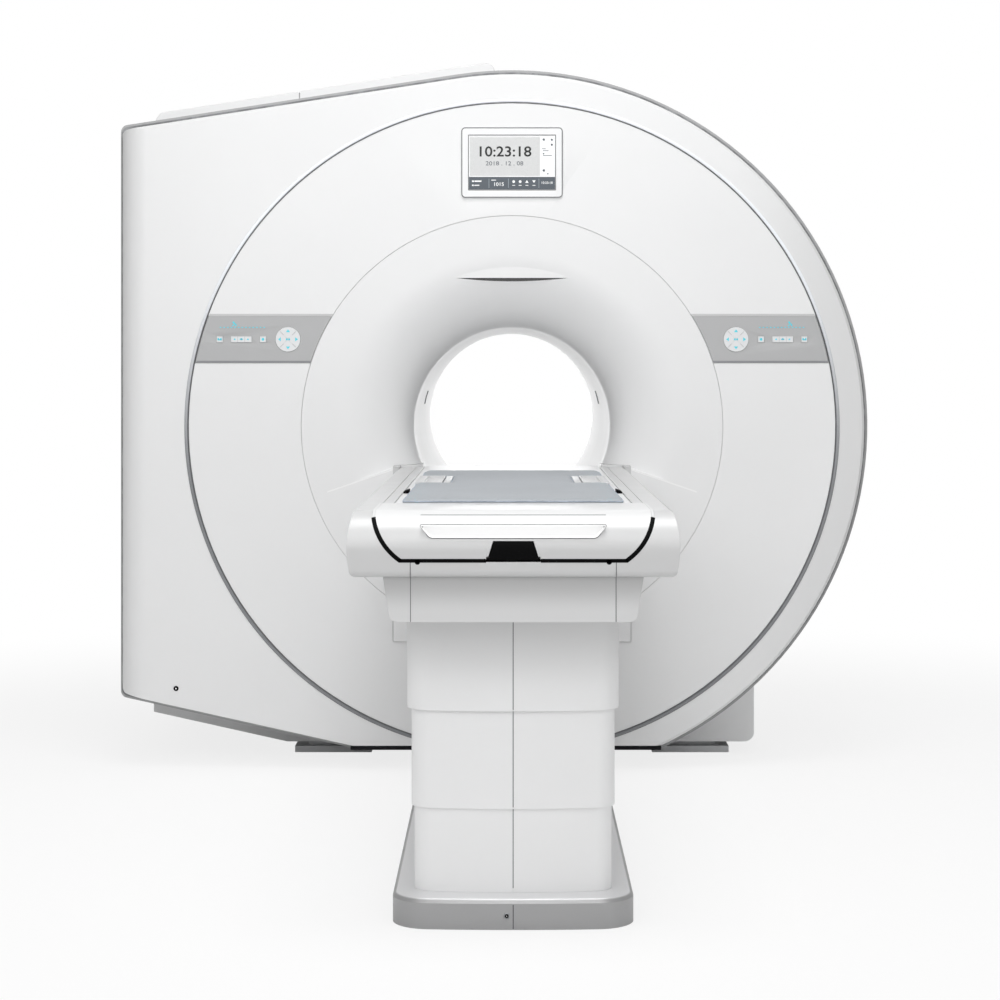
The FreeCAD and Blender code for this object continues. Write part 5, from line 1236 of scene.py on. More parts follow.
@dataclass(frozen=True)
class Display:
    """The status display over the bore: a screen with a clock, a bar of small signs and a pale column.

    Fields are (x, z, width, height) from their lower left corner, and dots are (x, z, radius).
    """

    face: float = -0.83880
    film: float = 0.0003
    middle: Spot = (0.0, 1.8215)
    rim_face: float = -0.8402
    rim_thick: float = 0.0012
    outer_rim: tuple = ((0.3040, 0.2110), 0.0116, 0.0030)
    inner_rim: tuple = ((0.2634, 0.1674), 0.0020, 0.0024)
    panel: tuple = (-0.1263, 1.7817, 0.2102, 0.1162)
    bar: tuple = (-0.1290, 1.7408, 0.2580, 0.0377)
    dividers: tuple = tuple((x, 1.7460, 0.0012, 0.0275) for x in (-0.0697, -0.0112, 0.0801))
    column_dots: tuple = (
        (0.0954, 1.8904, 0.0034), (0.1195, 1.8898, 0.0032), (0.1195, 1.8750, 0.0031), (0.0946, 1.8480, 0.0022),
        (0.0954, 1.7978, 0.0036), (0.1075, 1.7880, 0.0020), (0.0930, 1.8632, 0.0017), (0.0985, 1.8632, 0.0017))
    column_fields: tuple = ((0.0925, 1.8562, 0.0170, 0.0016), (0.0930, 1.8418, 0.0265, 0.0016))
    bar_dots: tuple = ((0.0050, 1.7643, 0.0042), (0.0244, 1.7643, 0.0042))
    bar_arrows: tuple = (((0.0395, 1.7605), (0.0500, 1.7605), (0.0448, 1.7692)),
                         ((0.0605, 1.7682), (0.0657, 1.7600), (0.0709, 1.7682)))
    bar_fields: tuple = (
        *((x, 1.7522, 0.0090, 0.0018) for x in (0.0005, 0.0199, 0.0403, 0.0612)),
        (-0.1200, 1.7630, 0.0060, 0.0050), (-0.1125, 1.7635, 0.0210, 0.0042), (-0.1200, 1.7512, 0.0050, 0.0042),
        (-0.1130, 1.7518, 0.0150, 0.0030), (-0.0620, 1.7676, 0.0140, 0.0024))
    clock: Writing = Writing("10:23:18", 0.0300, (-0.0235, 1.8530), 1.12, 0.0006)
    date: Writing = Writing("2018 . 12 . 08", 0.0125, (-0.0225, 1.8185), 1.15)
    count: Writing = Writing("1015", 0.0105, (-0.0400, 1.7560), 1.1, 0.0002)
    time: Writing = Writing("10:23:18", 0.0068, (0.1045, 1.7608), 1.05, 0.0001)

    def fields(self, rows: Iterable[tuple], level: int = 2) -> list[Mesh]:
        """Make flat fields of the screen.

        Args:
            rows: The fields as (x, z, width, height).
            level: What they lie on: 1 for the glass, 2 for another field.

        Returns:
            One plate for each field.
        """
        thick = self.film * level
        return [plate([(x, z), (x + width, z), (x + width, z + height), (x, z + height)],
                      self.face - thick, thick) for x, z, width, height in rows]

    def dots(self, rows: Iterable[tuple]) -> list[Mesh]:
        """Make round signs."""
        return [plate(rounded((x, z), (radius * 2, radius * 2), radius * 0.98), self.face - self.film * 2,
                      self.film) for x, z, radius in rows]

    def rim(self, size: Spot, corner: float, width: float) -> list[Mesh]:
        """Make a thin frame round the display's middle.

        Args:
            size: The frame's outer width and height.
            corner: Its outer corners' radius.
            width: How wide the frame itself is.

        Returns:
            The frame.
        """
        inside = (size[0] - 2 * width, size[1] - 2 * width)
        hole = rounded(self.middle, inside, max(0.0004, corner - width))
        return [carve(plate(rounded(self.middle, size, corner), self.rim_face, self.rim_thick),
                      plate(hole, self.rim_face - 0.001, 0.0034))]

    def build(self) -> list[Piece]:
        """Build the screen's fields, signs and rims."""
        face = self.face - self.film * 2
        arrows = [plate(points, face, self.film) for points in self.bar_arrows]
        films = (
            ("screen_panel", self.fields([self.panel], 1), Coat.SCREEN),
            ("screen_bar", self.fields([self.bar], 1), Coat.SCREEN_SLATE),
            ("screen_dividers", self.fields(self.dividers), Coat.MARK_PALE),
            ("screen_bar_signs", self.dots(self.bar_dots) + arrows + self.fields(self.bar_fields),
             Coat.SCREEN_WHITE),
            ("screen_column_signs", self.dots(self.column_dots) + self.fields(self.column_fields),
             Coat.SCREEN_SLATE),
            ("screen_clock", [self.clock.shape(face, self.film)], Coat.SCREEN_INK),
            ("screen_date", [self.date.shape(face, self.film)], Coat.SCREEN_SLATE),
            ("screen_count", [self.count.shape(face, self.film)], Coat.SCREEN_WHITE),
            ("screen_time", [self.time.shape(face, self.film)], Coat.SCREEN_WHITE),
            ("bezel_outer_rim", self.rim(*self.outer_rim), Coat.TRIM_DARK),
            ("bezel_inner_rim", self.rim(*self.inner_rim), Coat.TRIM_DARK),
        )
        return [place_piece(name, join_meshes(parts), "gantry", coat)
                for name, parts, coat in films]


@dataclass(frozen=True)
class KeyMarks:
    """The keys of one control panel and its marks: a row above the keys, a dotted line, and the pad's arrows.

    Places are distances from the middle plane. Marks are (x, z, width, height, corner) round their place.
    """

    side: str
    face: float = -0.8350
    proud: float = 0.0003
    thick: float = 0.0005
    row_z: float = 1.3385
    line_z: float = 1.3268
    key_face: float = -0.8368
    key_z: float = 1.2915
    pad_x: float = 0.6719
    bar_x: float = 0.8120
    lit_x: float = 0.8335
    ring_xs: tuple = (0.7460, 0.7900, 0.8770)
    ring_size: Spot = (0.0052, 0.0012)
    line_x: float = 0.8090
    line: tuple = (0.0, 0.0, 0.1330, 0.0010, 0.0004)
    lit_marks: tuple = ((-0.0018, 0.0040, 0.0062, 0.0058, 0.0025), (0.0012, -0.0006, 0.0074, 0.0040, 0.0018),
                        (-0.0036, -0.0054, 0.0050, 0.0038, 0.0016), (0.0054, -0.0044, 0.0044, 0.0060, 0.0018))
    dash_xs: tuple = tuple(0.7435 + 0.0109 * step for step in range(13))
    dash: tuple = (0.0, 0.0006, 0.0056, 0.0026, 0.0010)
    key_signs: tuple = (
        ("key_inner", 0.7470, ((0.0, 0.0, 0.0086, 0.0084, 0.0036),)),
        ("key_bar", 0.8120, ((-0.0200, 0.0, 0.0056, 0.0044, 0.0018), (0.0200, 0.0, 0.0056, 0.0044, 0.0018),
                             (0.0, 0.0, 0.0100, 0.0036, 0.0016), (0.0, 0.0012, 0.0040, 0.0052, 0.0014))),
        ("key_outer", 0.8769, ((-0.0040, 0.0004, 0.0050, 0.0072, 0.0018),
                               (0.0040, 0.0004, 0.0050, 0.0072, 0.0018),
                               (0.0, -0.0014, 0.0070, 0.0034, 0.0014))))
    pad_groove: Spot = (0.0172, 0.0008)
    pad_spoke: tuple = ((0.0185, -0.0005), (0.0330, -0.0005), (0.0330, 0.0005), (0.0185, 0.0005))
    pad_dots: tuple = tuple((x, 0.0, 0.0056, 0.0060, 0.0022) for x in (-0.0036, 0.0036))
    bar_grooves: tuple = tuple((x, 0.0, 0.0009, 0.0165, 0.0004) for x in (-0.0105, 0.0105))
    pad_arrow: tuple = ((0.0300, 0.0), (0.0215, 0.0062), (0.0215, -0.0062))
    # painted highlight along each panel's top edge, and painted shadow along its bottom edge
    panel_edges: tuple = (
        ("panel_painted_highlight", Coat.HOUSING, 0.0006,
         ((0.5375, 1.3617), (0.9095, 1.3617), (0.9070, 1.3680), (0.5335, 1.3680))),
        ("panel_painted_shadow", Coat.PANEL_DARK, 0.0005,
         ((0.6052, 1.2209), (0.9478, 1.2209), (0.9463, 1.2272), (0.6020, 1.2272))))

    @property
    def sign(self) -> int:
        """The panel's side: -1 left, 1 right."""
        return -1 if self.side == "left" else 1

    def place(self, name: str, parts: Iterable[Mesh], coat: Coat, key: str = "") -> Piece:
        """Put shapes on the panel, or on one of its keys, as one piece."""
        body, slot = (f"{self.side}_{key}", "key_grey") if key else ("gantry", "panel_grey")
        return place_piece(f"{self.side}_{name}", join_meshes(parts), body, coat)

    def marks(self, place: float, z: float, rows: Iterable[tuple], face: float) -> list[Mesh]:
        """Make flat marks round a place on a face."""
        return [plate(rounded((self.sign * place + x, z + up), (width, height), corner, 3), face - self.proud,
                      self.thick) for x, up, width, height, corner in rows]

    def ring(self, place: float, z: float, size: Spot, face: float) -> Mesh:
        """Make a small open ring.

        Args:
            place: The distance of its middle from the machine's middle plane.
            z: The height of its middle.
            size: Its radius and its width.
            face: The y of what it lies on.

        Returns:
            The closed ring.
        """
        radius, width = size
        mesh = bmesh.new()
        bmesh.ops.create_circle(mesh, cap_ends=True, segments=24, radius=radius)
        middle = mesh.faces[:]
        bmesh.ops.inset_region(mesh, faces=middle, thickness=width)
        bmesh.ops.delete(mesh, geom=middle, context="FACES")
        stand_up(mesh, (self.sign * place, face - self.proud, z))
        thicken(mesh, (0.0, self.thick, 0.0))
        return outward(mesh)

    def round_pad(self, outline: Sequence[Spot], first: float, lift: float, depth: float) -> list[Mesh]:
        """Make four copies of an outline round the pad's middle.

        Args:
            outline: The outline of one copy, along and across its own direction.
            first: The first copy's turn.
            lift: How far the copies stand out of the keys' face.
            depth: How far each reaches back.

        Returns:
            The four plates.
        """
        shapes = []
        for turn in (first + math.pi / 2 * step for step in range(4)):
            cosine, sine = math.cos(turn), math.sin(turn)
            points = [(self.sign * self.pad_x + along * cosine - across * sine,
                       self.key_z + along * sine + across * cosine) for along, across in outline]
            shapes.append(plate(points, self.key_face - lift, depth))
        return shapes

    def row(self) -> list[Piece]:
        """Build the marks above the keys: three faint rings over a line, a lit sign and the line's dashes."""
        pale = [self.ring(place, self.row_z, self.ring_size, self.face) for place in self.ring_xs]
        pale += self.marks(self.line_x, self.line_z, [self.line], self.face)
        dashes = [self.marks(place, self.line_z, [self.dash], self.face - 0.0001)[0]
                  for place in self.dash_xs]
        return [
            self.place("row_marks", pale, Coat.MARK_PALE),
            self.place("lit_mark", self.marks(self.lit_x, self.row_z, self.lit_marks, self.face), Coat.MARK),
            self.place("dotted_line", dashes, Coat.MARK),
        ]

    def build(self) -> list[Piece]:
        """Build everything on the panel."""
        pieces = [Skin(f"{self.side}_{name}", Coat.KEY, 0.0006).dress()
                  for name in ("pad_key", "key_inner", "key_bar", "key_outer")] + self.row()
        for key, place, rows in self.key_signs:
            signs = self.marks(place, self.key_z, rows, self.key_face)
            pieces.append(self.place(f"{key}_sign", signs, Coat.MARK, key))
        grooves = [self.ring(self.pad_x, self.key_z, self.pad_groove, self.key_face + 0.0001)]
        grooves += self.round_pad(self.pad_spoke, math.pi / 4, 0.0002, 0.0004)
        pieces.append(self.place("pad_fields", grooves, Coat.PANEL, "pad_key"))
        grooves = self.marks(self.bar_x, self.key_z, self.bar_grooves, self.key_face)
        pieces.append(self.place("bar_fields", grooves, Coat.PANEL, "key_bar"))
        for name, coat, thick, points in self.panel_edges:
            edge = plate([(self.sign * x, z) for x, z in points], self.face - thick + 0.0002, thick)
            pieces.append(self.place(name, [edge], coat))
        signs = self.marks(self.pad_x, self.key_z, self.pad_dots, self.key_face)
        signs += self.round_pad(self.pad_arrow, 0.0, self.proud, self.thick)
        return pieces + [self.place("pad_marks", signs, Coat.MARK, "pad_key")]


# ---------------------------------------------------------------- trim on the table
def nose_y(z: float) -> float:
    """Give the y of the couch's rounded foot end at a height.

    Args:
        z: The height in metres.

    Returns:
        The y of the couch's surface there.
    """
    foot, top, radius, chin, low = FOOT_Y, 0.9055, 0.085, 0.014, 0.768
    if z > top - radius:
        return foot + radius - math.sqrt(max(0.0, radius * radius - (z - top + radius) ** 2))
    if z < low + chin:
        return foot + chin - math.sqrt(max(0.0, chin * chin - (low + chin - z) ** 2))
    return foot


def arc_through(start: Spot, middle: Spot, end: Spot, steps: int) -> list[Spot]:
    """List points on the circle through three (x, z) points.

    Args:
        start: Where the arc starts.
        middle: A point on its way.
        end: Where it ends.
        steps: Facets of the arc.

    Returns:
        The points from start to end.
    """
    (ax, ay), (bx, by), (cx, cy) = start, middle, end
    a_square, b_square, c_square = ax * ax + ay * ay, bx * bx + by * by, cx * cx + cy * cy
    twice = 2 * (ax * (by - cy) + bx * (cy - ay) + cx * (ay - by))
    ux = (a_square * (by - cy) + b_square * (cy - ay) + c_square * (ay - by)) / twice
    uy = (a_square * (cx - bx) + b_square * (ax - cx) + c_square * (bx - ax)) / twice
    radius = math.hypot(ax - ux, ay - uy)
    first, last = math.atan2(ay - uy, ax - ux), math.atan2(cy - uy, cx - ux)
    turns = [first + (last - first) * step / steps for step in range(steps + 1)]
    return [(ux + radius * math.cos(turn), uy + radius * math.sin(turn)) for turn in turns]


def strip(rows: Iterable[Iterable[Point]]) -> Mesh:
    """Make an open strip of faces from pairs of points.

    Args:
        rows: The pairs, in order along the strip.

    Returns:
        The open strip.
    """
    mesh = bmesh.new()
    pairs = [[mesh.verts.new(point) for point in row] for row in rows]
    for near, far in zip(pairs, pairs[1:]):
        mesh.faces.new((near[0], near[1], far[1], far[0]))
    return mesh


def ribbon_on_nose(path: Sequence[Spot], width: float, proud: float, thick: float) -> Mesh:
    """Lay a thin strip on the couch's rounded foot end.

    Args:
        path: The strip's middle line as (x, z).
        width: Its width.
        proud: How far its face stands out of the surface.
        thick: Its thickness.

    Returns:
        The closed strip.
    """
    line = [Vector((x, 0.0, z)) for x, z in path]
    rows = []
    for number, point in enumerate(line):
        ahead = (line[min(number + 1, len(line) - 1)] - line[max(number - 1, 0)]).normalized()
        side = Vector((-ahead.z, 0.0, ahead.x)) * width / 2
        rows.append((point + side, point - side))
    mesh = strip(rows)
    back = set(thicken(mesh, (0.0, 0.0, 0.0)))
    for vert in mesh.verts:
        vert.co.y = nose_y(vert.co.z) - proud + (thick if vert in back else 0.0)
    return outward(mesh)


@dataclass(frozen=True)
class FasciaTrim:
    """What edges the foot end's white hood: wipers, a black seal and its pegs, fine lines, flanks, a lining.

    The hood's outline and the grip's corners are (x, z) on the right.
    """

    outline: tuple = ((0.29525, 0.8920), (0.27225, 0.8380), (0.2375, 0.80325))
    seal_gap: float = 0.0575
    seal_widths: Spot = (0.0092, 0.0080)
    seal_proud: float = 0.0002
    seal_thick: float = 0.004
    seal_over: float = 0.003
    peg: Point = (0.2010, FOOT_Y + 0.0028, 0.80075)
    peg_radius: float = 0.0062
    peg_deep: float = 0.006
    peg_edge: float = 0.0008
    crease_half: float = 0.196
    crease_z: float = 0.8965
    crease_proud: float = 0.00025
    grip_corners: tuple = ((0.1990, 0.8782), (0.1762, 0.8498))
    grip_corner: float = 0.0080
    grip_proud: float = 0.0003
    line_width: float = 0.0014
    line_thick: float = 0.002
    flank_xs: Spot = (0.2929, 0.2976)
    flank_low: float = 0.8928
    flank_high: float = 0.9053
    flank_tail: tuple = ((-2.8300, 0.9056), (-2.6000, 0.9056))
    flank_deep: Point = (0.0, 0.0015, -0.0025)
    lining: tuple = ((-0.1968, 0.8770), (0.1968, 0.8770), (0.1752, 0.8510), (-0.1752, 0.8510))
    lining_face: float = -2.9120
    lining_deep: float = 0.0585
    lining_corner: float = 0.0060
    lining_wall: float = 0.0005
    seam_x: float = 0.2160
    seam_half: float = 0.0009
    seam_reach: Spot = (0.0001, 0.0011)
    seam_rows: tuple = ((FOOT_Y, 0.7690, 0.8000), (-2.9020, 0.6735, 0.7675))
    wiper: tuple = ((0.2648, -2.5950, 0.8800), (0.2692, -0.7750, 0.9010))

    def seal(self) -> Mesh:
        """Make the black seal round the hood: its two sides, and its lower edge in two parts."""
        right = arc_through(*self.outline, 22)
        low_x, low_z = self.outline[-1]
        low_x += self.seal_over
        side_width, low_width = self.seal_widths
        strips = [ribbon_on_nose(path, side_width, self.seal_proud, self.seal_thick)
                  for path in (right, [(-x, z) for x, z in reversed(right)])]
        for start, end in ((-low_x, -self.seal_gap), (self.seal_gap, low_x)):
            path = [(start + (end - start) * step / 12, low_z) for step in range(13)]
            strips.append(ribbon_on_nose(path, low_width, self.seal_proud, self.seal_thick))
        return join_meshes(strips)

    def pegs(self) -> Mesh:
        """Make the two pegs under the hood's lower edge."""
        x, y, z = self.peg
        radii = (self.peg_radius, self.peg_radius)
        return join_meshes(rounded_edges(button(radii, self.peg_deep, 28, (side * x, y, z)), self.peg_edge)
                           for side in SIDES)

    def shadow_line(self) -> Mesh:
        """Make the fine painted shadow line that runs across above the grip."""
        path = [(self.crease_half * (step / 12 - 1), self.crease_z) for step in range(25)]
        return ribbon_on_nose(path, self.line_width, self.crease_proud, self.line_thick)

    def grip_rim(self) -> Mesh:
        """Make the fine grey line round the mouth of the hand grip, its corners rounded."""
        corners = [Vector(spot) for spot in self.grip_corners]
        corners += [Vector((-x, z)) for x, z in reversed(self.grip_corners)]
        middle = (0.0, self.grip_corners[0][1])
        path = [middle]
        for before, spot, after in zip([Vector(middle)] + corners, corners, corners[1:] + corners[:1]):
            start, end = (spot + (other - spot).normalized() * self.grip_corner for other in (before, after))
            for share in (step / 8 for step in range(9)):
                bend = start * (1 - share) ** 2 + spot * 2 * share * (1 - share) + end * share ** 2
                path.append(tuple(bend))
        return ribbon_on_nose(path + [middle], self.line_width, self.grip_proud, self.line_thick)

    def flank(self, side: int) -> Mesh:
        """Make one white fillet that closes the hood's gap on top, from its corner to the rail.

        Args:
            side: -1 for the left one, 1 for the right one.

        Returns:
            The closed fillet.
        """
        low, rise = self.flank_low, self.flank_high - self.flank_low
        spots = [low + rise * (step / 14) ** 0.7 for step in range(15)]
        line = [(nose_y(z) - 0.0001, z) for z in spots] + list(self.flank_tail)
        mesh = strip([(side * x, y, z) for x in self.flank_xs] for y, z in line)
        thicken(mesh, self.flank_deep)
        return outward(mesh)

    def grip_lining(self) -> Mesh:
        """Make the lining of the hand grip's pocket, open to the front; its glow is painted light."""
        lining = plate(self.lining, self.lining_face, self.lining_deep)
        lining.normal_update()
        mouth = min(lining.faces, key=lambda face: face.calc_center_median().y)
        sides = [edge for edge in lining.edges
                 if abs(edge.verts[0].co.y - edge.verts[1].co.y) > self.lining_deep / 2]
        bmesh.ops.delete(lining, geom=[mouth], context="FACES_ONLY")
        outward(rounded_edges(lining, self.lining_corner, sides, 4))
        bmesh.ops.solidify(lining, geom=lining.faces[:], thickness=self.lining_wall)
        return lining

    def seams(self) -> Mesh:
        """Make the dark joints down the foot end and the columns."""
        proud, deep = self.seam_reach
        return join_meshes(block((side * self.seam_x - self.seam_half, face - proud, low),
                                 (side * self.seam_x + self.seam_half, face + deep, high))
                           for side in SIDES for face, low, high in self.seam_rows)

    def wipers(self) -> Mesh:
        """Make the pale wiper strips in the gaps between the cradle and its rail covers."""
        return join_meshes(block(*((side * x, y, z) for x, y, z in self.wiper)) for side in SIDES)

    def build(self) -> list[Piece]:
        """Build the trim."""
        pieces = (
            ("rail_wipers", self.wipers(), Coat.HOUSING, "housing_white"),
            ("fascia_seal", self.seal(), Coat.LOCK, "lock_black"),
            ("fascia_pegs", self.pegs(), Coat.LOCK, "lock_black"),
            ("fascia_shadow_line", self.shadow_line(), Coat.PANEL_DARK, "cover_white"),
            ("grip_rim", self.grip_rim(), Coat.TRIM_DARK, "cover_white"),
            ("hood_flanks", join_meshes(map(self.flank, SIDES)), Coat.FASCIA, "cover_white"),
            ("grip_lining", self.grip_lining(), Coat.GRIP, "cover_white"),
            ("foot_seams", self.seams(), Coat.TRIM_DARK, "table_grey"),
        )
        return [place_piece(name, mesh, "couch", coat) for name, mesh, coat, slot in pieces]


@dataclass(frozen=True)
class FrontSeams:
    """The dark joint down the columns and the base, the base's lock ring and the locks' bright cores."""

    half_width: float = 0.0010
    proud: float = 0.0001
    deep: float = 0.0011
    base_front: float = -2.7950
    joints: tuple = (
        ("upper_seam", "couch", -2.7450, 0.4650, 0.6725, Coat.TRIM_DARK, "table_grey"),
        ("middle_seam", "middle_column", -2.7355, 0.2520, 0.4855, Coat.TRIM_DARK, "table_grey"),
        ("lower_seam", "gantry", -2.7290, 0.0750, 0.2890, Coat.TRIM_DARK, "base_silver"),
        ("base_seam", "gantry", base_front, 0.0020, 0.0540, Coat.JOINT, "base_silver"))
    lock: Spot = (-0.0140, 0.0300)
    ring: tuple = ((0.0050, -0.0012), (0.0054, -0.0018), (0.0064, -0.0018), (0.0070, -0.0012), (0.0070, 0.0004),
                   (0.0050, 0.0004))
    cores: tuple = ((0.0012, (-0.0140, -2.7964, 0.0300)), (0.0027, (-1.0080, -0.8364, 0.2440)))
    core_deep: float = 0.0008

    def lock_ring(self) -> Mesh:
        """Make the bright ring round the lock in the base."""
        ring = turned(self.ring, 32)
        spot = Vector((self.lock[0], self.base_front, self.lock[1]))
        bmesh.ops.translate(ring, vec=spot - BORE_AXIS, verts=ring.verts[:])
        return ring

    def build(self) -> list[Piece]:
        """Build the joints and the lock trim."""
        pieces = []
        for name, body, face, low, high, coat, slot in self.joints:
            seam = block((-self.half_width, face - self.proud, low), (self.half_width, face + self.deep, high))
            pieces.append(place_piece(name, seam, body, coat))
        pieces.append(place_piece("base_lock_ring", self.lock_ring(), "gantry", Coat.RAIL))
        dots = join_meshes(button((radius, radius * 0.8), self.core_deep, 20, place)
                           for radius, place in self.cores)
        return pieces + [place_piece("lock_cores", dots, "gantry", Coat.BEZEL)]


@dataclass(frozen=True)
class DockApron:
    """Plate hung from the couch's head end, which closes the table's channel below the couch."""

    corners: tuple[Point, Point] = ((-0.3560, -0.8397, 0.3850), (0.3560, -0.8385, 0.7695))
    edge: float = 0.0004

    def build(self) -> list[Piece]:
        """Build the plate with its fine rounded edges."""
        return [place_piece("dock_apron", rounded_edges(block(*self.corners), self.edge), "couch", Coat.COVER)]


@dataclass(frozen=True)
class Mattress:
    """The thin patient mattress: a crowned pad with drawn-in sides, piping, sewn lines and two coil cut-outs."""

    half: float = 0.2478
    foot: float = -2.5895
    head: float = -1.1750
    low: float = 0.9054
    thick: float = 0.0098
    edge: float = 0.34
    crown: float = 0.0015
    corner: float = 0.009
    cut_foot: float = -1.8605
    cut_head: float = -1.4855
    cut_inner: float = 0.1590
    pad_grid: float = 0.0075
    piping_grid: float = 0.02
    swell_reach: float = 0.008
    crown_reach: float = 0.18
    sewn_x: float = 0.165
    sewn_hem: float = 0.045
    sewn_half: float = 0.0035
    sewn_deep: float = 0.0009
    drawn_from: float = 0.17
    drawn_in: float = 0.0022
    ripple: Spot = (0.0006, 31.0)
    piping_radius: float = 0.0011
    socket_plate: tuple = ((0.1600, -1.8540, 0.9054), (0.1775, -1.4920, 0.9128))
    socket_edge: float = 0.0010

    def plan(self, spacing: float) -> Mesh:
        """Make the plan with its cut-outs and rounded corners, cut into an even grid.

        Args:
            spacing: The width of the grid's cells.

        Returns:
            The flat plan.
        """
        right = [(self.half, self.foot), (self.half, self.cut_foot), (self.cut_inner, self.cut_foot),
                 (self.cut_inner, self.cut_head), (self.half, self.cut_head), (self.half, self.head)]
        outline = right + [(-x, y) for x, y in reversed(right)]
        mesh = bmesh.new()
        mesh.faces.new([mesh.verts.new((x, y, 0.0)) for x, y in outline])
        bmesh.ops.bevel(mesh, geom=mesh.verts[:], offset=self.corner, segments=5, profile=0.5, affect="VERTICES",
                        material=-1)
        for axis, low, high in ((0, -self.half, self.half), (1, self.foot, self.head)):
            count = int((high - low) / spacing)
            for step in range(1, count):
                place, normal = Vector(), Vector()
                place[axis], normal[axis] = low + (high - low) * step / count, 1.0
                bmesh.ops.bisect_plane(mesh, geom=mesh.verts[:] + mesh.edges[:] + mesh.faces[:], dist=1e-6,
                                       plane_co=place, plane_no=normal)
        return mesh

    def rim_distance(self, x: float, y: float) -> float:
        """Give how far a point of the plan lies from the nearest rim.

        Args:
            x: Where the point is across the pad.
            y: Where it is along it.

        Returns:
            The distance, or 0 outside the plan.
        """
        near = min(self.half - abs(x), y - self.foot, self.head - y)
        if self.cut_foot - 0.1 < y < self.cut_head + 0.1:
            across = abs(x) - self.cut_inner
            along = max(self.cut_foot - y, y - self.cut_head)
            beside = across < 0 or along > 0
            near = min(near, math.hypot(max(0.0, -across), max(0.0, along)) if beside else 0.0)
        return max(0.0, near)

    def lid_z(self, x: float, y: float) -> float:
        """Give the height of the pad's upper side: a swelling edge, a crowned middle and sewn lines.

        Args:
            x: Where the point is across the pad.
            y: Where it is along it.

        Returns:
            The height there.
        """
        rim = self.rim_distance(x, y)
        swell = 1.0 - math.exp(-rim / self.swell_reach)
        lines = [abs(x) - self.sewn_x, y - self.foot - self.sewn_hem, y - self.head + self.sewn_hem]
        sewn = max(math.exp(-(line / self.sewn_half) ** 2) for line in lines)
        crown = self.crown * min(1.0, rim / self.crown_reach) ** 0.7
        body = self.thick * (self.edge + (1 - self.edge) * swell)
        return self.low + body + crown - self.sewn_deep * sewn * swell

    def draw_sides(self, mesh: Mesh) -> Mesh:
        """Pull the long sides in between the corners and the straps.

        Args:
            mesh: The pad or its piping, changed in place.

        Returns:
            The same shape, its faces pointing outwards.
        """
        for vert in mesh.verts:
            along = (vert.co.y - self.foot) / (self.head - self.foot)
            pull = self.drawn_in * math.sin(math.pi * min(1.0, max(0.0, along)))
            pull += self.ripple[0] * math.sin(vert.co.y * self.ripple[1])
            share = max(0.0, (abs(vert.co.x) - self.drawn_from) / (self.half - self.drawn_from))
            vert.co.x -= math.copysign(pull * share, vert.co.x) if vert.co.x else 0.0
        return outward(mesh)

    def pad(self) -> Mesh:
        """Make the pad's closed, crowned form."""
        mesh = self.plan(self.pad_grid)
        lid = set(thicken(mesh, (0.0, 0.0, 0.0)))
        for vert in mesh.verts:
            vert.co.z = self.lid_z(vert.co.x, vert.co.y) if vert in lid else self.low
        return self.draw_sides(mesh)

    def piping(self) -> Mesh:
        """Make the thin piping round the pad's upper edge."""
        rim = self.plan(self.piping_grid)
        last = next(edge for edge in rim.edges if edge.is_boundary)
        chain, here = [last.verts[0]], last.verts[1]
        while here is not chain[0]:
            chain.append(here)
            last = next(edge for edge in here.link_edges if edge.is_boundary and edge is not last)
            here = last.other_vert(here)
        curve = bpy.data.curves.new("piping", "CURVE")
        curve.dimensions = "3D"
        curve.bevel_depth = self.piping_radius
        curve.bevel_resolution = 2
        spline = curve.splines.new("POLY")
        spline.points.add(len(chain) - 1)
        for point, vert in zip(spline.points, chain):
            point.co = (vert.co.x, vert.co.y, self.low + self.thick * self.edge, 1.0)
        spline.use_cyclic_u = True
        rim.free()
        return self.draw_sides(baked(add_object("piping", curve)))

    def build(self) -> list[Piece]:
        """Build the mattress, its piping and the sockets' plates."""
        pad = place_piece("mattress_pad", self.pad(), "cradle", Coat.MATTRESS, ("mattress",),
                          SOFT_TURN)
        piping = place_piece("mattress_piping", self.piping(), "cradle", Coat.PIPING,
                             turn=SOFT_TURN)
        plates = join_meshes(rounded_edges(block(*((side * x, y, z) for x, y, z in self.socket_plate)),
                                           self.socket_edge) for side in SIDES)
        return [pad, piping, place_piece("socket_plates", plates, "cradle", Coat.SOCKET)]


# ---------------------------------------------------------------- the studio
@dataclass(frozen=True)
class SoftLamp:
    """A large plain area lamp."""

    name: str
    place: Point
    aim: Point
    size: float
    power: float

    def build(self) -> Piece:
        """Hang the lamp and turn it towards its aim."""
        lamp = bpy.data.lights.new(self.name, "AREA")
        lamp.shape = "SQUARE"
        lamp.size = self.size
        lamp.energy = self.power
        holder = add_object(self.name, lamp)
        holder.visible_camera = False
        holder.location = self.place
        holder.rotation_euler = (Vector(self.aim) - Vector(self.place)).to_track_quat("-Z", "Y").to_euler()
        return holder


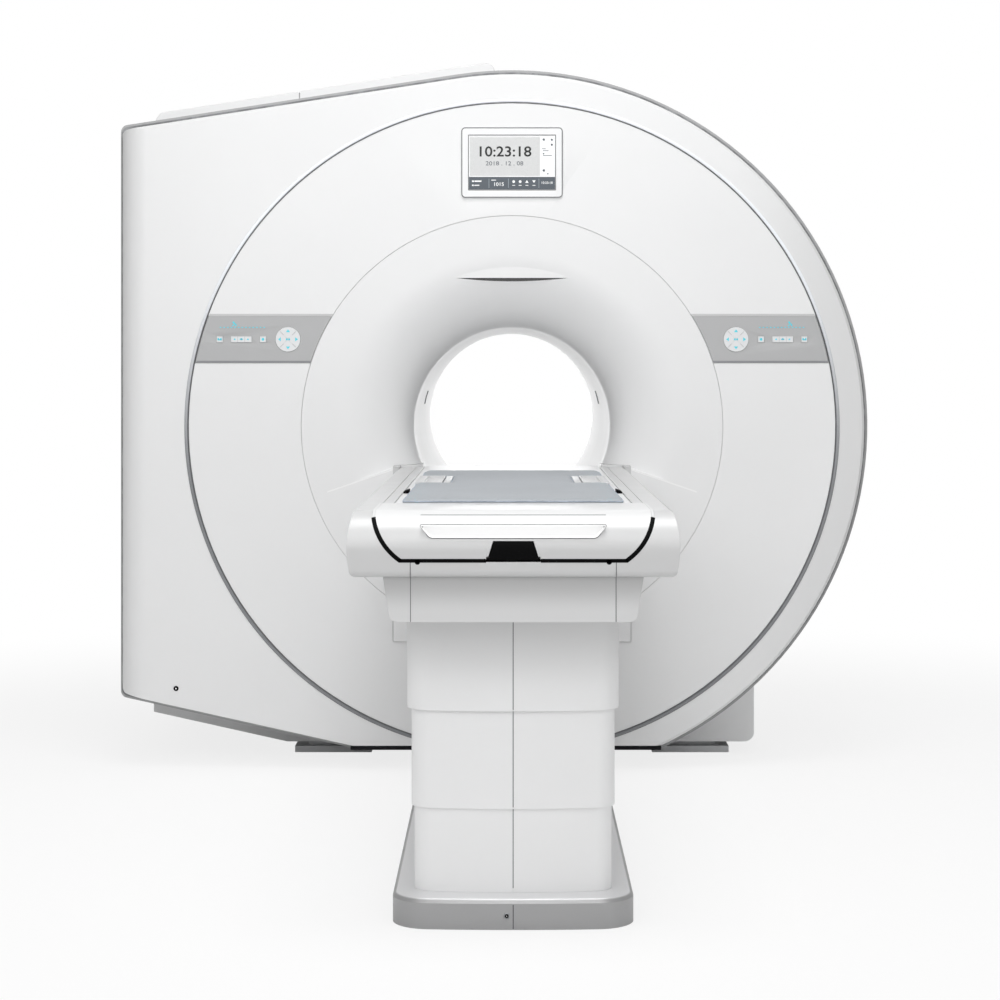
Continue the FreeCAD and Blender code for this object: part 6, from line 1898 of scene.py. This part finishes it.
@dataclass(frozen=True)
class Studio:
    """A pale floor, soft lamps and the camera in front of the table's foot end."""

    lens: float = 82.8
    stand: Point = (-0.009, -7.735, 1.2115)
    shift: Spot = (-0.009, -0.134)
    floor_half: float = 30.0
    floor_z: float = -0.0004
    ambient: float = 0.42
    lamps: tuple[SoftLamp, ...] = (
        SoftLamp("front fill", (-1.5, -8.5, 4.2), (0.0, -0.8, 0.9), 5.0, 91.0),
        SoftLamp("gantry light", (-0.2, -3.2, 2.3), (0.0, -0.8, 1.0), 2.4, 15.5),
        SoftLamp("overhead", (0.2, -3.0, 5.2), (0.0, -1.8, 0.9), 2.4, 94.0),
        SoftLamp("low fill", (2.4, -5.6, 0.5), (0.4, -1.4, 0.4), 1.2, 4.0),
        SoftLamp("rear fill", (0.0, 4.6, 1.9), (0.0, 0.8, 1.0), 3.0, 58.0),
    )

    def sky(self) -> None:
        """Give the room an even pale light, and a white background behind the object."""
        world = bpy.data.worlds.new("pale room")
        world.use_nodes = True
        bpy.context.scene.world = world
        links, nodes = world.node_tree.links, world.node_tree.nodes
        nodes.clear()
        path = nodes.new("ShaderNodeLightPath")
        seen = nodes.new("ShaderNodeMath")
        seen.operation = "MAXIMUM"
        for number, ray in enumerate(("Is Camera Ray", "Is Transmission Ray")):
            links.new(path.outputs[ray], seen.inputs[number])
        mix = nodes.new("ShaderNodeMixShader")
        links.new(seen.outputs[0], mix.inputs[0])
        for number, strength in ((1, self.ambient), (2, 1.0)):
            light = nodes.new("ShaderNodeBackground")
            light.inputs["Color"].default_value = (1.0, 1.0, 1.0, 1.0)
            light.inputs["Strength"].default_value = strength
            links.new(light.outputs[0], mix.inputs[number])
        target = nodes.new("ShaderNodeOutputWorld")
        links.new(mix.outputs[0], target.inputs["Surface"])

    def floor(self) -> Piece:
        """Lay the floor just under the object's feet."""
        mesh = bmesh.new()
        bmesh.ops.create_grid(mesh, x_segments=2, y_segments=2, size=self.floor_half)
        bmesh.ops.translate(mesh, vec=(0.0, 0.0, self.floor_z), verts=mesh.verts[:])
        floor = add_object("floor", to_data("floor", mesh))
        floor.data.materials.append(Coat.FLOOR.material())
        return floor

    def camera(self) -> Piece:
        """Set the camera level in front of the table, as in the photograph."""
        data = bpy.data.cameras.new("front camera")
        data.sensor_width = 36.0
        data.lens = self.lens
        data.shift_x, data.shift_y = self.shift
        data.clip_end = 200.0
        camera = add_object("front camera", data)
        camera.location = self.stand
        camera.rotation_euler = (math.radians(90.0), 0.0, 0.0)
        bpy.context.scene.camera = camera
        return camera

    def build(self) -> list[Piece]:
        """Set up the whole room."""
        self.sky()
        return [self.floor(), self.camera()] + [lamp.build() for lamp in self.lamps]


def main() -> None:
    """Build every piece in order and report it."""
    bpy.context.scene.view_settings.view_transform = "Standard"
    parts = (GantryCovers(), RingTrim(), Funnel(), DockLips(), Display(), KeyMarks("left"), KeyMarks("right"),
             TableCovers(), FasciaTrim(), FrontSeams(), DockApron(), Mattress(), Studio())
    for part in parts:
        for piece in part.build():
            log.info("%s: %s", type(part).__name__, piece.name)


if __name__ == "__main__":
    main()
